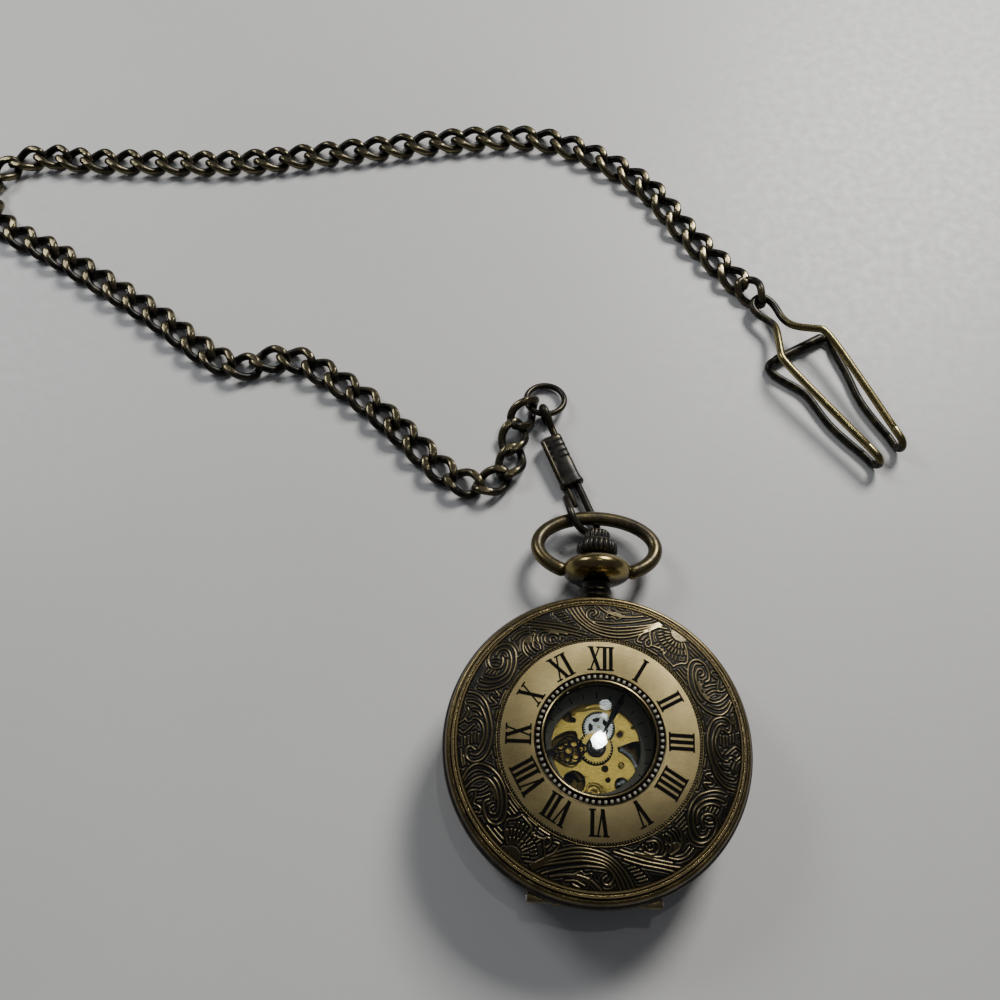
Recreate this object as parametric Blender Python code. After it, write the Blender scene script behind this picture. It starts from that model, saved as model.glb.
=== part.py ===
"""Pocket watch with a half-hunter case, a see-through movement, and its chain, clasp and vest clip.

Frame: the origin is the centre of the case on the table plane. The watch lies on its back with the
dial up (+Z) and the pendant and 12 o'clock towards +Y. Sizes below are in millimetres; MM turns them
into Blender's metres when a mesh is written.
"""
import math

import bmesh
import bpy
from mathutils import Matrix, Vector

MM = 0.001
WELD = 0.0005
SHARP_ANGLE = math.radians(35)

# Case. Heights are above the table.
CASE_R = 22.9
CASE_WAIST_R = 22.5
CASE_BORE_R = 20.4
CASE_LIP_R = 21.5
CASE_BOTTOM = 3.9
CASE_TOP = 9.6
LIP_BOTTOM = 3.0
LIP_TOP = 11.0
COVER_R = 23.5
COVER_BORE_R = 21.9
COVER_BOTTOM = 9.85
WINDOW_R = 8.5
WINDOW_TOP = 15.95
NUMERAL_RING_R = 16.2
BACK_R = 23.0
BACK_TOP = 3.55
REST_R = 12.0
SPRING_R = (19.6, 20.1)
SPRING_Z = (9.9, 10.25)
NOSE_HALF = 1.3
NOSE_Z = (9.95, 10.2)
SLOT_HALF = 1.7
SLOT_Z = (9.8, 10.35)
RING_STEPS = 32

# Hinges at 6 o'clock, one for each cover.
HINGE_Y = -22.0
FRONT_HINGE_Z = 8.9
BACK_HINGE_Z = 4.3
KNUCKLE_R = 0.75
KNUCKLE_BORE = 0.42
HINGE_PIN_R = 0.3
FRONT_KNUCKLES = (6.2, 9.7)
FRONT_CENTRE_KNUCKLE = 6.0
BACK_KNUCKLES = (3.4, 6.0)
BACK_CENTRE_KNUCKLE = 3.2

# Pendant, crown and bow. Their axis runs along Y at mid-height of the case.
STEM_Z = 5.7
BULB_Y = 29.8
BULB_HALF = 2.4
BULB_R = 5.5
NECK_R = 2.5
PENDANT_FOOT = 23.25
PENDANT_BORE = 1.45
CROWN_BASE = 32.4
CROWN_TOP = 35.0
BUTTON_TOP = 36.9
BOW_WIRE = 1.0
BOW_A = 10.0
BOW_B = 6.14
BOW_END_X = 5.95
BOW_TILT = math.radians(-15)

# Movement.
PLATE_R = 18.3
PLATE = (6.9, 7.9)
BRIDGE = (4.1, 4.8)
PILLAR_TOP = 6.87
CENTRE = (0.0, 0.0)
BARREL = (-7.6, 4.0)
THIRD = (4.6, -3.86)
FOURTH = (0.92, -7.09)
ESCAPE = (-2.9, -9.5)
PALLET = (-5.87, -9.06)
BALANCE = (-9.0, -8.6)
CROWN_WHEEL = (-2.2, 8.6)
CLICK = (-12.4, 8.4)
MINUTE_WHEEL = (0.4, 3.1)
DIAL_R = (6.85, 19.2)
ARBOR_R = 0.22
ARBOR_TOP = 6.8
WINDING_WHEELS = (3.65, 4.0)
MAINSPRING_COIL = (1.6, 1.2, 0.2)
HAIRSPRING_COIL = (0.55, 0.54, 0.06)
COIL_STEPS = 9
HOUR_HAND_ANGLE = math.radians(260.5)
MINUTE_HAND_ANGLE = math.radians(27)

# Chain, clasp and clip.
LINK_A = 3.05
LINK_B = 2.2
LINK_WIRE = 0.6
LINK_TWIST = math.radians(45)
LINK_POINTS = 8
CHAIN_Z = 1.5
LINKS = 63
JOINT_SLACK = 0.55
END_LINK_Z = 2.2
END_LINK_ROLL = math.radians(45)
LINKS_PER_SEGMENT = 8
CHAIN_PATH = ((-13.2, 61.1), (-15, 57), (-15, 52), (-19, 47), (-26, 48), (-36, 57), (-46, 65), (-58, 71),
              (-69, 69), (-86, 80), (-106, 92), (-119, 99), (-124, 108), (-117, 116), (-103, 116), (-75, 117),
              (-52, 121), (-23, 126), (-8, 125), (8, 116), (18, 103), (29.4, 89.6))
CLIP_LOOP = (31.7, 86.2)
RING_CENTRE = (-9.62, 64.05, 1.65)
RING_R = 3.15
RING_WIRE = 0.5
RING_TILT = math.radians(-13)
HOOK_WIRE = 0.55
EYE = (-9.0, 60.0)
SHAFT_ANGLE = math.radians(-65)
SHAFT_SLOPE = -0.06
SLEEVE_SPAN = (3.6, 13.6)
CLIP_WIRE = 0.65
TUBE_R = 0.95
CLIP_UPPER = ((48.2, 56.4, 3.95), (35.0, 71.6, 4.7), (33.7, 74.3, 4.6), (33.5, 79.2, 3.7), (33.1, 82.2, 2.8),
              (30.6, 84.2, 2.3), (29.2, 86.8, 2.2), (31.2, 88.8, 2.2), (33.5, 87.0, 2.3), (34.8, 83.4, 2.8),
              (37.0, 81.2, 3.6), (41.1, 80.3, 4.5), (43.3, 78.4, 4.7), (53.2, 60.2, 3.95))
CLIP_LOWER = (((48.2, 56.4, 0.75), (42.5, 62.1, 0.75), (39.0, 68.2, 0.75), (35.6, 70.6, 0.75),
               (32.6, 72.6, 0.8), (32.1, 73.9, 0.95), (33.0, 75.0, 1.0), (34.6, 75.9, 1.0)),
              ((53.2, 60.2, 0.75), (48.8, 66.9, 0.75), (46.8, 73.0, 0.75), (44.8, 77.6, 0.8),
               (44.5, 79.6, 0.95), (43.2, 80.7, 1.0), (41.4, 80.0, 1.0)))
HAIRPINS = (((49.35, 55.0), math.radians(-49)), ((54.0, 58.7), math.radians(-61.3)))
HAIRPIN_R = 1.6
HAIRPIN_Z = 2.35
HAIRPIN_SPLIT = math.radians(8)
HAIRPIN_POINTS = 5


def clear_scene():
    for obj in list(bpy.data.objects):
        bpy.data.objects.remove(obj, do_unlink=True)


def look(name, colour, roughness, metallic, alpha=1.0):
    """One Principled material."""
    material = bpy.data.materials.new(name)
    material.use_nodes = True
    shader = material.node_tree.nodes["Principled BSDF"]
    shader.inputs["Base Color"].default_value = (*colour, 1.0)
    shader.inputs["Roughness"].default_value = roughness
    shader.inputs["Metallic"].default_value = metallic
    shader.inputs["Alpha"].default_value = alpha
    return material


def make_looks():
    return {
        "antique": look("antique_brass", (0.36, 0.27, 0.13), 0.35, 1.0),
        "dark": look("dark_bronze", (0.075, 0.062, 0.045), 0.4, 1.0),
        "satin": look("satin_brass", (0.55, 0.44, 0.24), 0.35, 1.0),
        "gold": look("gilt_brass", (0.85, 0.58, 0.2), 0.3, 1.0),
        "steel": look("steel", (0.55, 0.56, 0.58), 0.28, 1.0),
        "blued": look("blued_steel", (0.03, 0.03, 0.045), 0.3, 1.0),
        "dial": look("dial_grey", (0.1, 0.1, 0.095), 0.5, 0.3),
        "glass": look("crystal", (0.9, 0.92, 0.92), 0.03, 0.0, 0.3),
    }


# ---------------------------------------------------------------- solids

def turned(profile, steps, axis="Z", centre=(0, 0, 0)):
    """Solid of revolution from a closed outline of (radius, height) points."""
    bm = bmesh.new()
    verts = [bm.verts.new((radius, 0, height)) for radius, height in profile]
    edges = []
    for a, b in zip(verts, verts[1:] + verts[:1]):
        if a.co.x > 0 or b.co.x > 0:
            edges.append(bm.edges.new((a, b)))
    bmesh.ops.spin(bm, geom=verts + edges, cent=(0, 0, 0), axis=(0, 0, 1), angle=2 * math.pi,
                   steps=steps, use_duplicate=False)
    bmesh.ops.remove_doubles(bm, verts=bm.verts, dist=WELD)
    turn = {"Z": Matrix(), "Y": Matrix.Rotation(-math.pi / 2, 4, "X"),
            "X": Matrix.Rotation(math.pi / 2, 4, "Y")}[axis]
    bm.transform(Matrix.Translation(centre) @ turn)
    bmesh.ops.recalc_face_normals(bm, faces=bm.faces)
    return bm


def rod(radius, low, high, steps, axis="Z", centre=(0, 0, 0)):
    return turned([(0, low), (radius, low), (radius, high), (0, high)], steps, axis, centre)


def ring(inner, outer, low, high, steps, axis="Z", centre=(0, 0, 0)):
    return turned([(inner, low), (outer, low), (outer, high), (inner, high)], steps, axis, centre)


def prism(outline, low, high):
    """Straight solid between two heights over a closed outline of (x, y) points."""
    bm = bmesh.new()
    base = bm.faces.new([bm.verts.new((x, y, low)) for x, y in outline])
    top = bmesh.ops.extrude_face_region(bm, geom=[base])
    raised = [part for part in top["geom"] if isinstance(part, bmesh.types.BMVert)]
    bmesh.ops.translate(bm, verts=raised, vec=(0, 0, high - low))
    bmesh.ops.recalc_face_normals(bm, faces=bm.faces)
    return bm


def box(low, high):
    bm = bmesh.new()
    bmesh.ops.create_cube(bm, size=1)
    size = Vector(high) - Vector(low)
    bm.transform(Matrix.Translation((Vector(high) + Vector(low)) / 2) @ Matrix.Diagonal((*size, 1)))
    return bm


def wire(points, radius, resolution=1, closed=False):
    """Round wire along a path, from a bevelled curve."""
    curve = bpy.data.curves.new("wire", "CURVE")
    curve.dimensions = "3D"
    curve.bevel_depth = radius
    curve.bevel_resolution = resolution
    curve.use_fill_caps = not closed
    spline = curve.splines.new("POLY")
    spline.points.add(len(points) - 1)
    for point, place in zip(spline.points, points):
        point.co = (*place, 1)
    spline.use_cyclic_u = closed
    holder = bpy.data.objects.new("wire", curve)
    mesh = bpy.data.meshes.new_from_object(holder)
    bm = bmesh.new()
    bm.from_mesh(mesh)
    bpy.data.objects.remove(holder, do_unlink=True)
    bpy.data.curves.remove(curve)
    bpy.data.meshes.remove(mesh)
    bmesh.ops.remove_doubles(bm, verts=bm.verts, dist=WELD)
    bmesh.ops.recalc_face_normals(bm, faces=bm.faces)
    return bm


def boolean(first, second, operation):
    """The union or difference of two solids, by an exact Boolean modifier."""
    holders = []
    for bm in (first, second):
        mesh = bpy.data.meshes.new("solid")
        bm.to_mesh(mesh)
        bm.free()
        holder = bpy.data.objects.new("solid", mesh)
        bpy.context.scene.collection.objects.link(holder)
        holders.append(holder)
    modifier = holders[0].modifiers.new("Boolean", "BOOLEAN")
    modifier.solver = "EXACT"
    modifier.operation = operation
    modifier.object = holders[1]
    view = bpy.context.evaluated_depsgraph_get()
    view.update()
    result = bmesh.new()
    result.from_mesh(holders[0].evaluated_get(view).to_mesh())
    for holder in holders:
        mesh = holder.data
        bpy.data.objects.remove(holder, do_unlink=True)
        bpy.data.meshes.remove(mesh)
    bmesh.ops.remove_doubles(result, verts=result.verts, dist=WELD)
    return result


def fuse(solids):
    whole = solids[0]
    for solid in solids[1:]:
        whole = boolean(whole, solid, "UNION")
    return whole


def cut(solid, cutters):
    for cutter in cutters:
        solid = boolean(solid, cutter, "DIFFERENCE")
    return solid


def pivot(name, place, parent=None):
    """An empty on a joint's axis, which carries the pieces that move on it."""
    empty = bpy.data.objects.new(name, None)
    empty.empty_display_size = 2 * MM
    bpy.context.scene.collection.objects.link(empty)
    empty["place"] = place
    home = Vector((0, 0, 0))
    if parent:
        empty.parent = parent
        home = Vector(parent["place"])
    empty.location = (Vector(place) - home) * MM
    return empty


def piece(name, bm, material, parent=None, origin=None):
    """Write one solid as a named object, with its origin at its joint or its own centre."""
    home = Vector(parent["place"]) if parent else Vector((0, 0, 0))
    at = Vector(origin) if origin is not None else home
    bm.transform(Matrix.Scale(MM, 4) @ Matrix.Translation(-at))
    mesh = bpy.data.meshes.new(name)
    bm.to_mesh(mesh)
    bm.free()
    mesh.shade_smooth()
    mesh.set_sharp_from_angle(angle=SHARP_ANGLE)
    mesh.materials.append(material)
    obj = bpy.data.objects.new(name, mesh)
    bpy.context.scene.collection.objects.link(obj)
    if parent:
        obj.parent = parent
    obj.location = (at - home) * MM
    return obj


def on_circle(centre, radius, angle):
    return (centre[0] + radius * math.cos(angle), centre[1] + radius * math.sin(angle))


def arc(centre, radius, start, end, steps):
    """Points on an arc, with both ends, angles in degrees."""
    span = math.radians(end - start)
    return [on_circle(centre, radius, math.radians(start) + span * i / steps) for i in range(steps + 1)]


def toothed(centre, tip, root, teeth, low, high):
    """Disc with saw-shaped teeth."""
    outline = [on_circle(centre, tip if i % 2 else root, math.pi * i / teeth) for i in range(2 * teeth)]
    return prism(outline, low, high)


# ---------------------------------------------------------------- case

def case_middle(looks):
    outline = [(CASE_LIP_R, LIP_BOTTOM), (CASE_LIP_R, CASE_BOTTOM), (CASE_R, CASE_BOTTOM),
               (CASE_WAIST_R, (CASE_BOTTOM + CASE_TOP) / 2), (CASE_R, CASE_TOP), (CASE_LIP_R, CASE_TOP),
               (CASE_LIP_R, LIP_TOP), (CASE_BORE_R, LIP_TOP), (CASE_BORE_R, LIP_BOTTOM)]
    body = turned(outline, RING_STEPS)
    hinge_notch = box((-9.95, -24, 3.4), (9.95, -20.95, 10.1))
    stem_hole = rod(1.0, 18, 25, 12, "Y", (0, 0, STEM_Z))
    catch_slot = box((-SLOT_HALF, 19, SLOT_Z[0]), (SLOT_HALF, 22.5, SLOT_Z[1]))
    lift_slot = box((-SLOT_HALF, -22.5, SLOT_Z[0]), (SLOT_HALF, -19, SLOT_Z[1]))
    body = cut(body, [hinge_notch, stem_hole, catch_slot, lift_slot])
    for z, half in ((FRONT_HINGE_Z, FRONT_CENTRE_KNUCKLE), (BACK_HINGE_Z, BACK_CENTRE_KNUCKLE)):
        web = box((-half, HINGE_Y + 0.5, z - 0.4), (half, -20.7, z + 0.4))
        tube = ring(KNUCKLE_BORE, KNUCKLE_R, -half, half, 8, "X", (0, HINGE_Y, z))
        body = fuse([body, fuse([tube, web])])
    return piece("case_middle", body, looks["antique"])


def cover_knuckles(z, span, web_inner, web_low, web_high):
    """A cover's two hinge tubes, each with the web that ties it to the rim."""
    start, end = span
    solids = []
    for low, high in ((-end, -start), (start, end)):
        tube = ring(KNUCKLE_BORE, KNUCKLE_R, low, high, 8, "X", (0, HINGE_Y, z))
        web = box((low, HINGE_Y - 0.6, web_low), (high, web_inner, web_high))
        solids.append(fuse([tube, web]))
    return solids


def front_cover(looks, hinge):
    outline = [(23.15, COVER_BOTTOM), (COVER_R, 10.5), (23.35, 11.3), (22.8, 12.3), (22.1, 13.1), (21.3, 13.7),
               (20.6, 14.1), (NUMERAL_RING_R, 15.2), (8.9, WINDOW_TOP), (WINDOW_R, WINDOW_TOP),
               (WINDOW_R, 15.15), (9.4, 15.1), (15.9, 14.35), (20.2, 13.2), (21.2, 12.4),
               (COVER_BORE_R, 11.4), (COVER_BORE_R, COVER_BOTTOM)]
    shell = turned(outline, RING_STEPS)
    shell = fuse([shell, *cover_knuckles(FRONT_HINGE_Z, FRONT_KNUCKLES, -21.1, 9.35, 10.6)])
    piece("front_cover", shell, looks["antique"], hinge)
    lens = [(0, 15.7), (8.2, 14.95), (8.2, 15.35), (5, 16.1), (0, 16.3)]
    piece("front_cover_crystal", turned(lens, 24), looks["glass"], hinge)
    seat = [(8.0, 14.2), (9.3, 14.2), (9.3, 14.6), (8.0, 14.7)]
    piece("front_crystal_ring", turned(seat, 24), looks["satin"], hinge)


def back_cover(looks, hinge):
    outline = [(0, 0), (REST_R, 0), (12.6, 0.3), (18, 1.2), (22.5, 2.5), (BACK_R, 3.05), (22.9, BACK_TOP),
               (COVER_BORE_R, BACK_TOP), (COVER_BORE_R, 2.95), (17.8, 1.9), (12.3, 0.95), (0, 0.9)]
    shell = turned(outline, RING_STEPS)
    leaves = cover_knuckles(BACK_HINGE_Z, BACK_KNUCKLES, -21.45, 2.8, 3.85)
    piece("back_cover", fuse([shell, *leaves]), looks["antique"], hinge)


def case_glass(looks):
    bezel = [(18.8, 10.5), (20.1, 10.5), (20.1, 11.2), (18.8, 11.55)]
    piece("crystal_bezel", turned(bezel, RING_STEPS), looks["antique"])
    crystal = [(0, 11.3), (18.5, 10.65), (18.5, 11.2), (10, 11.75), (0, 11.9)]
    piece("main_crystal", turned(crystal, RING_STEPS), looks["glass"])
    piece("inner_back_ring", ring(17.2, 20.1, 3.0, 3.8, RING_STEPS), looks["antique"])
    piece("inner_back_crystal", rod(16.9, 2.9, 3.4, RING_STEPS), looks["glass"])


def hinge_pins(looks):
    for name, z, half in (("front_hinge_pin", FRONT_HINGE_Z, FRONT_KNUCKLES[1]),
                          ("back_hinge_pin", BACK_HINGE_Z, BACK_KNUCKLES[1])):
        pin = rod(HINGE_PIN_R, -half, half, 8, "X", (0, HINGE_Y, z))
        piece(name, pin, looks["steel"], origin=(0, HINGE_Y, z))


def arc_spring(start, end, nose):
    """Flat spring along the inside of the case, with a nose that points outwards."""
    outer = arc(CENTRE, SPRING_R[1], start, end, 12)
    inner = arc(CENTRE, SPRING_R[0], end, start, 12)
    strip = prism(outer + inner, *SPRING_Z)
    return fuse([strip, nose])


def case_springs(looks, catch):
    nose = box((-NOSE_HALF, 19.8, NOSE_Z[0]), (NOSE_HALF, 21.7, NOSE_Z[1]))
    piece("lock_spring", arc_spring(50, 130, nose), looks["steel"], catch)
    nose = box((-NOSE_HALF, -21.4, NOSE_Z[0]), (NOSE_HALF, -19.8, NOSE_Z[1]))
    piece("lift_spring", arc_spring(225, 315, nose), looks["steel"])


# ---------------------------------------------------------------- pendant, crown and bow

def pendant(looks):
    neck = [(1.8, PENDANT_FOOT), (1.8, 24.1), (2.45, 24.1), (2.2, 25.0), (NECK_R, 25.6), (2.2, 26.4),
            (2.5, 27.3)]
    bulb = []
    for i in range(1, 7):
        turn = math.pi * i / 7 - math.pi / 2
        bulb.append((1.5 + (BULB_R - 1.5) * math.cos(turn) ** 0.8, BULB_Y + BULB_HALF * math.sin(turn)))
    bore = [(PENDANT_BORE, BULB_Y + BULB_HALF), (PENDANT_BORE, PENDANT_FOOT)]
    body = turned(neck + bulb + bore, 20, "Y", (0, 0, STEM_Z))
    holes = [rod(0.6, 4.3, 7, 8, "X", (0, BULB_Y, STEM_Z)), rod(0.6, -7, -4.3, 8, "X", (0, BULB_Y, STEM_Z))]
    piece("pendant", cut(body, holes), looks["antique"], origin=(0, BULB_Y, STEM_Z))


def bow(looks, hinge):
    """Oval wire loop whose two ends turn in the sides of the pendant."""
    centre_y = BOW_B * math.sqrt(1 - (BOW_END_X / BOW_A) ** 2)
    end_turn = math.acos(-centre_y / BOW_B)
    points = []
    for i in range(19):
        turn = end_turn - 2 * end_turn * i / 18
        points.append((BOW_A * math.sin(-turn), centre_y + BOW_B * math.cos(turn), 0))
    loop = wire(points, BOW_WIRE, 1)
    for side in (-1, 1):
        low, high = sorted((side * 4.6, side * (BOW_END_X + 0.5)))
        loop = fuse([loop, rod(0.4, low, high, 8, "X")])
    loop.transform(Matrix.Translation((0, BULB_Y, STEM_Z)) @ Matrix.Rotation(BOW_TILT, 4, "X"))
    piece("bow", loop, looks["antique"], hinge)


def winding_parts(looks, sleeve_slide, crown_turn, button_slide):
    at = (0, 0, STEM_Z)
    piece("stem_sleeve", ring(0.75, 1.25, 24.6, 30.5, 12, "Y", at), looks["steel"], sleeve_slide)
    skirt = [(0.62, CROWN_BASE), (2.6, CROWN_BASE), (3.45, CROWN_BASE + 0.5), (3.4, 34.3), (2.9, CROWN_TOP),
             (2.35, CROWN_TOP), (2.35, 34.05), (1.15, 34.05), (1.15, 33.0), (0.62, 33.0)]
    piece("crown", turned(skirt, 18, "Y", at), looks["dark"], crown_turn)
    stem = [(0, 9.0), (0.35, 9.0), (0.35, 10.4), (0.5, 10.4), (0.5, 32.85), (0, 32.85)]
    piece("winding_stem", turned(stem, 8, "Y", at), looks["steel"], crown_turn)
    pinion = ring(0.6, 0.8, 11.0, 12.6, 10, "Y", at)
    piece("winding_pinion", pinion, looks["steel"], crown_turn)
    cap = [(0, 33.95), (0.95, 33.95), (0.95, 34.97), (2.15, 34.97), (2.15, 36.6), (1.8, BUTTON_TOP),
           (0, BUTTON_TOP)]
    piece("crown_button", turned(cap, 16, "Y", at), looks["dark"], button_slide)


# ---------------------------------------------------------------- movement

def plates(looks):
    piece("movement_ring", cut(ring(18.5, 20.2, 4.3, 7.9, RING_STEPS),
                               [rod(0.9, 17, 22, 10, "Y", (0, 0, STEM_Z))]), looks["dark"])
    piece("dial", ring(*DIAL_R, 8.05, 8.4, RING_STEPS), looks["dial"])
    plate = rod(PLATE_R, *PLATE, RING_STEPS)
    holes = [rod(radius, 6, 9, steps, "Z", (x, y, 0)) for x, y, radius, steps in
             ((0, 0, 0.5, 10), (4.2, -0.9, 1.3, 12), (-3.4, -5.2, 1.2, 12), (-2.9, 2.6, 0.7, 10))]
    piece("main_plate", cut(plate, holes), looks["gold"])


def pillar(x, y, radius=0.9):
    return rod(radius, BRIDGE[0] + 0.3, PILLAR_TOP, 8, "Z", (x, y, 0))


def bridges(looks):
    barrel_side = arc(CENTRE, 17.9, 66, 208, 20) + [(-2.6, -1.9), (1.2, 3.2)]
    bridge = fuse([prism(barrel_side, *BRIDGE), pillar(3.2, 15.4), pillar(-16.4, -4.6, 0.8)])
    bridge = cut(bridge, [rod(1.0, 3, 6, 10, "Z", (*BARREL, 0)), rod(0.5, 3, 6, 8, "Z", (*CROWN_WHEEL, 0))])
    piece("barrel_bridge", bridge, looks["gold"])
    train_side = arc(CENTRE, 17.9, -103, 60, 22) + [(2.4, 2.6), (-1.6, -2.2), (-4.0, -6.0)]
    bridge = fuse([prism(train_side, *BRIDGE), pillar(13.6, 6.5), pillar(9.0, -14.0)])
    holes = [rod(0.3, 3, 6, 8, "Z", (x, y, 0)) for x, y in (CENTRE, THIRD, FOURTH, ESCAPE)]
    piece("train_bridge", cut(bridge, holes), looks["gold"])
    reach = Vector(BALANCE).normalized()
    side = Vector((-reach.y, reach.x))
    foot = reach * 17.35
    middle = Vector(BALANCE)
    corners = [middle - reach * 1.6 + side * 0.6, middle - reach * 1.6 - side * 0.6, middle - side * 1.5,
               foot - side * 3.6, foot + reach * 0.6, foot + side * 3.6, middle + side * 1.5]
    arm = [tuple(corner) for corner in corners]
    cock = fuse([prism(arm, *BRIDGE), pillar(*foot, 0.42)])
    piece("balance_cock", cut(cock, [rod(0.3, 3, 6, 8, "Z", (*BALANCE, 0))]), looks["gold"])
    bar = [(-6.9, -12.4), (-5.6, -12.5), (-4.7, -6.1), (-6.0, -6.0)]
    feet = [rod(0.5, 6.0, PILLAR_TOP, 8, "Z", (x, y, 0)) for x, y in ((-6.2, -11.9), (-5.35, -6.6))]
    piece("pallet_cock", fuse([prism(bar, 5.95, 6.12), *feet]), looks["gold"])


def arbor(place, radius, low, high):
    return rod(radius, low, high, 8, "Z", (*place, 0))


def spiral(centre, coil, turns, height):
    """Flat coil spring: its inner radius, the gap between turns and the wire's radius."""
    start, gap, wire_r = coil
    points = []
    for i in range(turns * COIL_STEPS + 1):
        angle = 2 * math.pi * i / COIL_STEPS
        points.append((*on_circle(centre, start + gap * i / COIL_STEPS, angle), height))
    return wire(points, wire_r, 0)


def going_train(looks, pivots):
    barrel = turned([(1.25, 5.9), (7.1, 5.9), (7.1, 5.2), (7.45, 5.2), (7.45, 6.1), (1.25, 6.1)], 24,
                    "Z", (*BARREL, 0))
    piece("mainspring_barrel", barrel, looks["gold"], pivots["barrel"])
    piece("barrel_lid", ring(1.25, 7.4, 4.95, 5.1, 24, "Z", (*BARREL, 0)), looks["gold"], pivots["barrel"])
    coil = spiral(BARREL, MAINSPRING_COIL, 4, 5.5)
    piece("mainspring", coil, looks["steel"], pivots["barrel"])
    core = turned([(0, 3.6), (0.8, 3.6), (0.8, 4.9), (1.1, 4.9), (1.1, 6.2), (0.6, 6.2), (0.6, ARBOR_TOP),
                   (0, ARBOR_TOP)], 12, "Z", (*BARREL, 0))
    piece("barrel_arbor", core, looks["steel"], pivots["ratchet"])
    ratchet = cut(toothed(BARREL, 4.2, 3.9, 20, *WINDING_WHEELS), [arbor(BARREL, 0.9, 3, 5)])
    piece("ratchet_wheel", ratchet, looks["steel"], pivots["ratchet"])
    wheels = (("centre_wheel", CENTRE, 5.2, 20, (6.2, 6.45), 1.0, (5.1, 6.25), (4.3, 9.35)),
              ("third_wheel", THIRD, 4.2, 18, (5.4, 5.65), 0.7, (5.6, 6.6), (4.3, ARBOR_TOP)),
              ("fourth_wheel", FOURTH, 3.9, 18, (5.75, 5.95), 0.6, (5.3, 5.8), (4.3, ARBOR_TOP)),
              ("escape_wheel", ESCAPE, 2.2, 15, (6.3, 6.5), 0.5, (5.4, 6.35), (4.3, ARBOR_TOP)))
    for name, place, tip, teeth, disc, leaf_r, leaves, ends in wheels:
        disc = toothed(place, tip, tip - 0.3, teeth, *disc)
        wheel = fuse([disc, rod(leaf_r, *leaves, 10, "Z", (*place, 0)), arbor(place, ARBOR_R, *ends)])
        piece(name, wheel, looks["gold"], pivots[name])


def escapement(looks, pivots):
    fork = [(-0.35, -1.0), (0.45, -1.0), (0.3, -0.2), (2.1, -0.18), (2.2, -0.5), (2.45, -0.5), (2.4, 0),
            (2.45, 0.5), (2.2, 0.5), (2.1, 0.18), (0.3, 0.2), (0.45, 1.0), (-0.35, 1.0)]
    heading = math.atan2(BALANCE[1] - PALLET[1], BALANCE[0] - PALLET[0])
    turn = Matrix.Rotation(heading, 2)
    outline = [tuple(turn @ Vector(point) + Vector(PALLET)) for point in fork]
    body = fuse([prism(outline, 6.25, 6.45), arbor(PALLET, 0.2, 6.2, ARBOR_TOP)])
    piece("pallet_fork", body, looks["steel"], pivots["pallet_fork"])
    rim = ring(3.9, 4.4, 5.3, 5.75, 18, "Z", (*BALANCE, 0))
    spokes = prism([(BALANCE[0] + x, BALANCE[1] + y) for x, y in
                    ((-4.1, -0.3), (4.1, -0.3), (4.1, 0.3), (-4.1, 0.3))], 5.4, 5.65)
    staff = turned([(0, 4.3), (0.2, 4.3), (0.2, 5.3), (0.4, 5.3), (0.4, 5.8), (0.62, 5.8), (0.62, 6.1),
                    (0.2, 6.1), (0.2, ARBOR_TOP), (0, ARBOR_TOP)], 10, "Z", (*BALANCE, 0))
    piece("balance_wheel", fuse([rim, spokes, staff]), looks["gold"], pivots["balance_wheel"])
    stud_reach = HAIRSPRING_COIL[0] + 3 * HAIRSPRING_COIL[1]
    stud = rod(0.14, 4.95, 5.1, 6, "Z", (*on_circle(BALANCE, stud_reach, 0), 0))
    piece("hairspring", fuse([spiral(BALANCE, HAIRSPRING_COIL, 3, 5.03), stud]), looks["blued"])


def winding_train(looks, pivots):
    wheel = cut(toothed(CROWN_WHEEL, 2.8, 2.55, 18, *WINDING_WHEELS), [arbor(CROWN_WHEEL, 0.45, 3, 5)])
    piece("crown_wheel", wheel, looks["steel"], pivots["crown_wheel"])
    aim = Vector(BARREL) - Vector(CLICK)
    along = aim.normalized()
    across = Vector((-along.y, along.x))
    tip = Vector(BARREL) - along * 4.35
    outline = [tuple(tip), tuple(Vector(CLICK) + across * 0.55), tuple(Vector(CLICK) - along * 0.8),
               tuple(Vector(CLICK) - across * 0.55)]
    piece("click", prism(outline, *WINDING_WHEELS), looks["steel"], pivots["click"])


def motion_work(looks, pivots):
    pinion = turned([(0.3, 8.0), (0.7, 8.0), (0.7, 8.35), (0.55, 8.35), (0.55, 9.6), (0.3, 9.6)], 12)
    piece("cannon_pinion", pinion, looks["steel"], pivots["centre_wheel"])
    wheel = fuse([cut(toothed(CENTRE, 2.2, 1.98, 20, 8.42, 8.65), [arbor(CENTRE, 0.75, 8, 9)]),
                  ring(0.68, 1.0, 8.5, 9.0, 12)])
    piece("hour_wheel", wheel, looks["gold"], pivots["hour_wheel"])
    disc = fuse([toothed(MINUTE_WHEEL, 2.3, 2.08, 26, 8.05, 8.28),
                 rod(0.82, 8.2, 8.64, 10, "Z", (*MINUTE_WHEEL, 0))])
    piece("minute_wheel", disc, looks["steel"], pivots["minute_wheel"])


def hand(angle, hub, bore, length, width, low, high):
    """Leaf-shaped hand round a bored hub, pointing at a clock angle from 12."""
    outline = [(0.0, -hub * 1.6), (width * 0.35, -hub), (width * 0.45, hub), (width, length * 0.45),
               (width * 0.35, length * 0.8), (0.0, length), (-width * 0.35, length * 0.8),
               (-width, length * 0.45), (-width * 0.45, hub), (-width * 0.35, -hub)]
    blade = fuse([prism(outline, low, high), rod(hub, low, high, 12)])
    blade = cut(blade, [rod(bore, low - 1, high + 1, 12)])
    blade.transform(Matrix.Rotation(-angle, 4, "Z"))
    return blade


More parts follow.
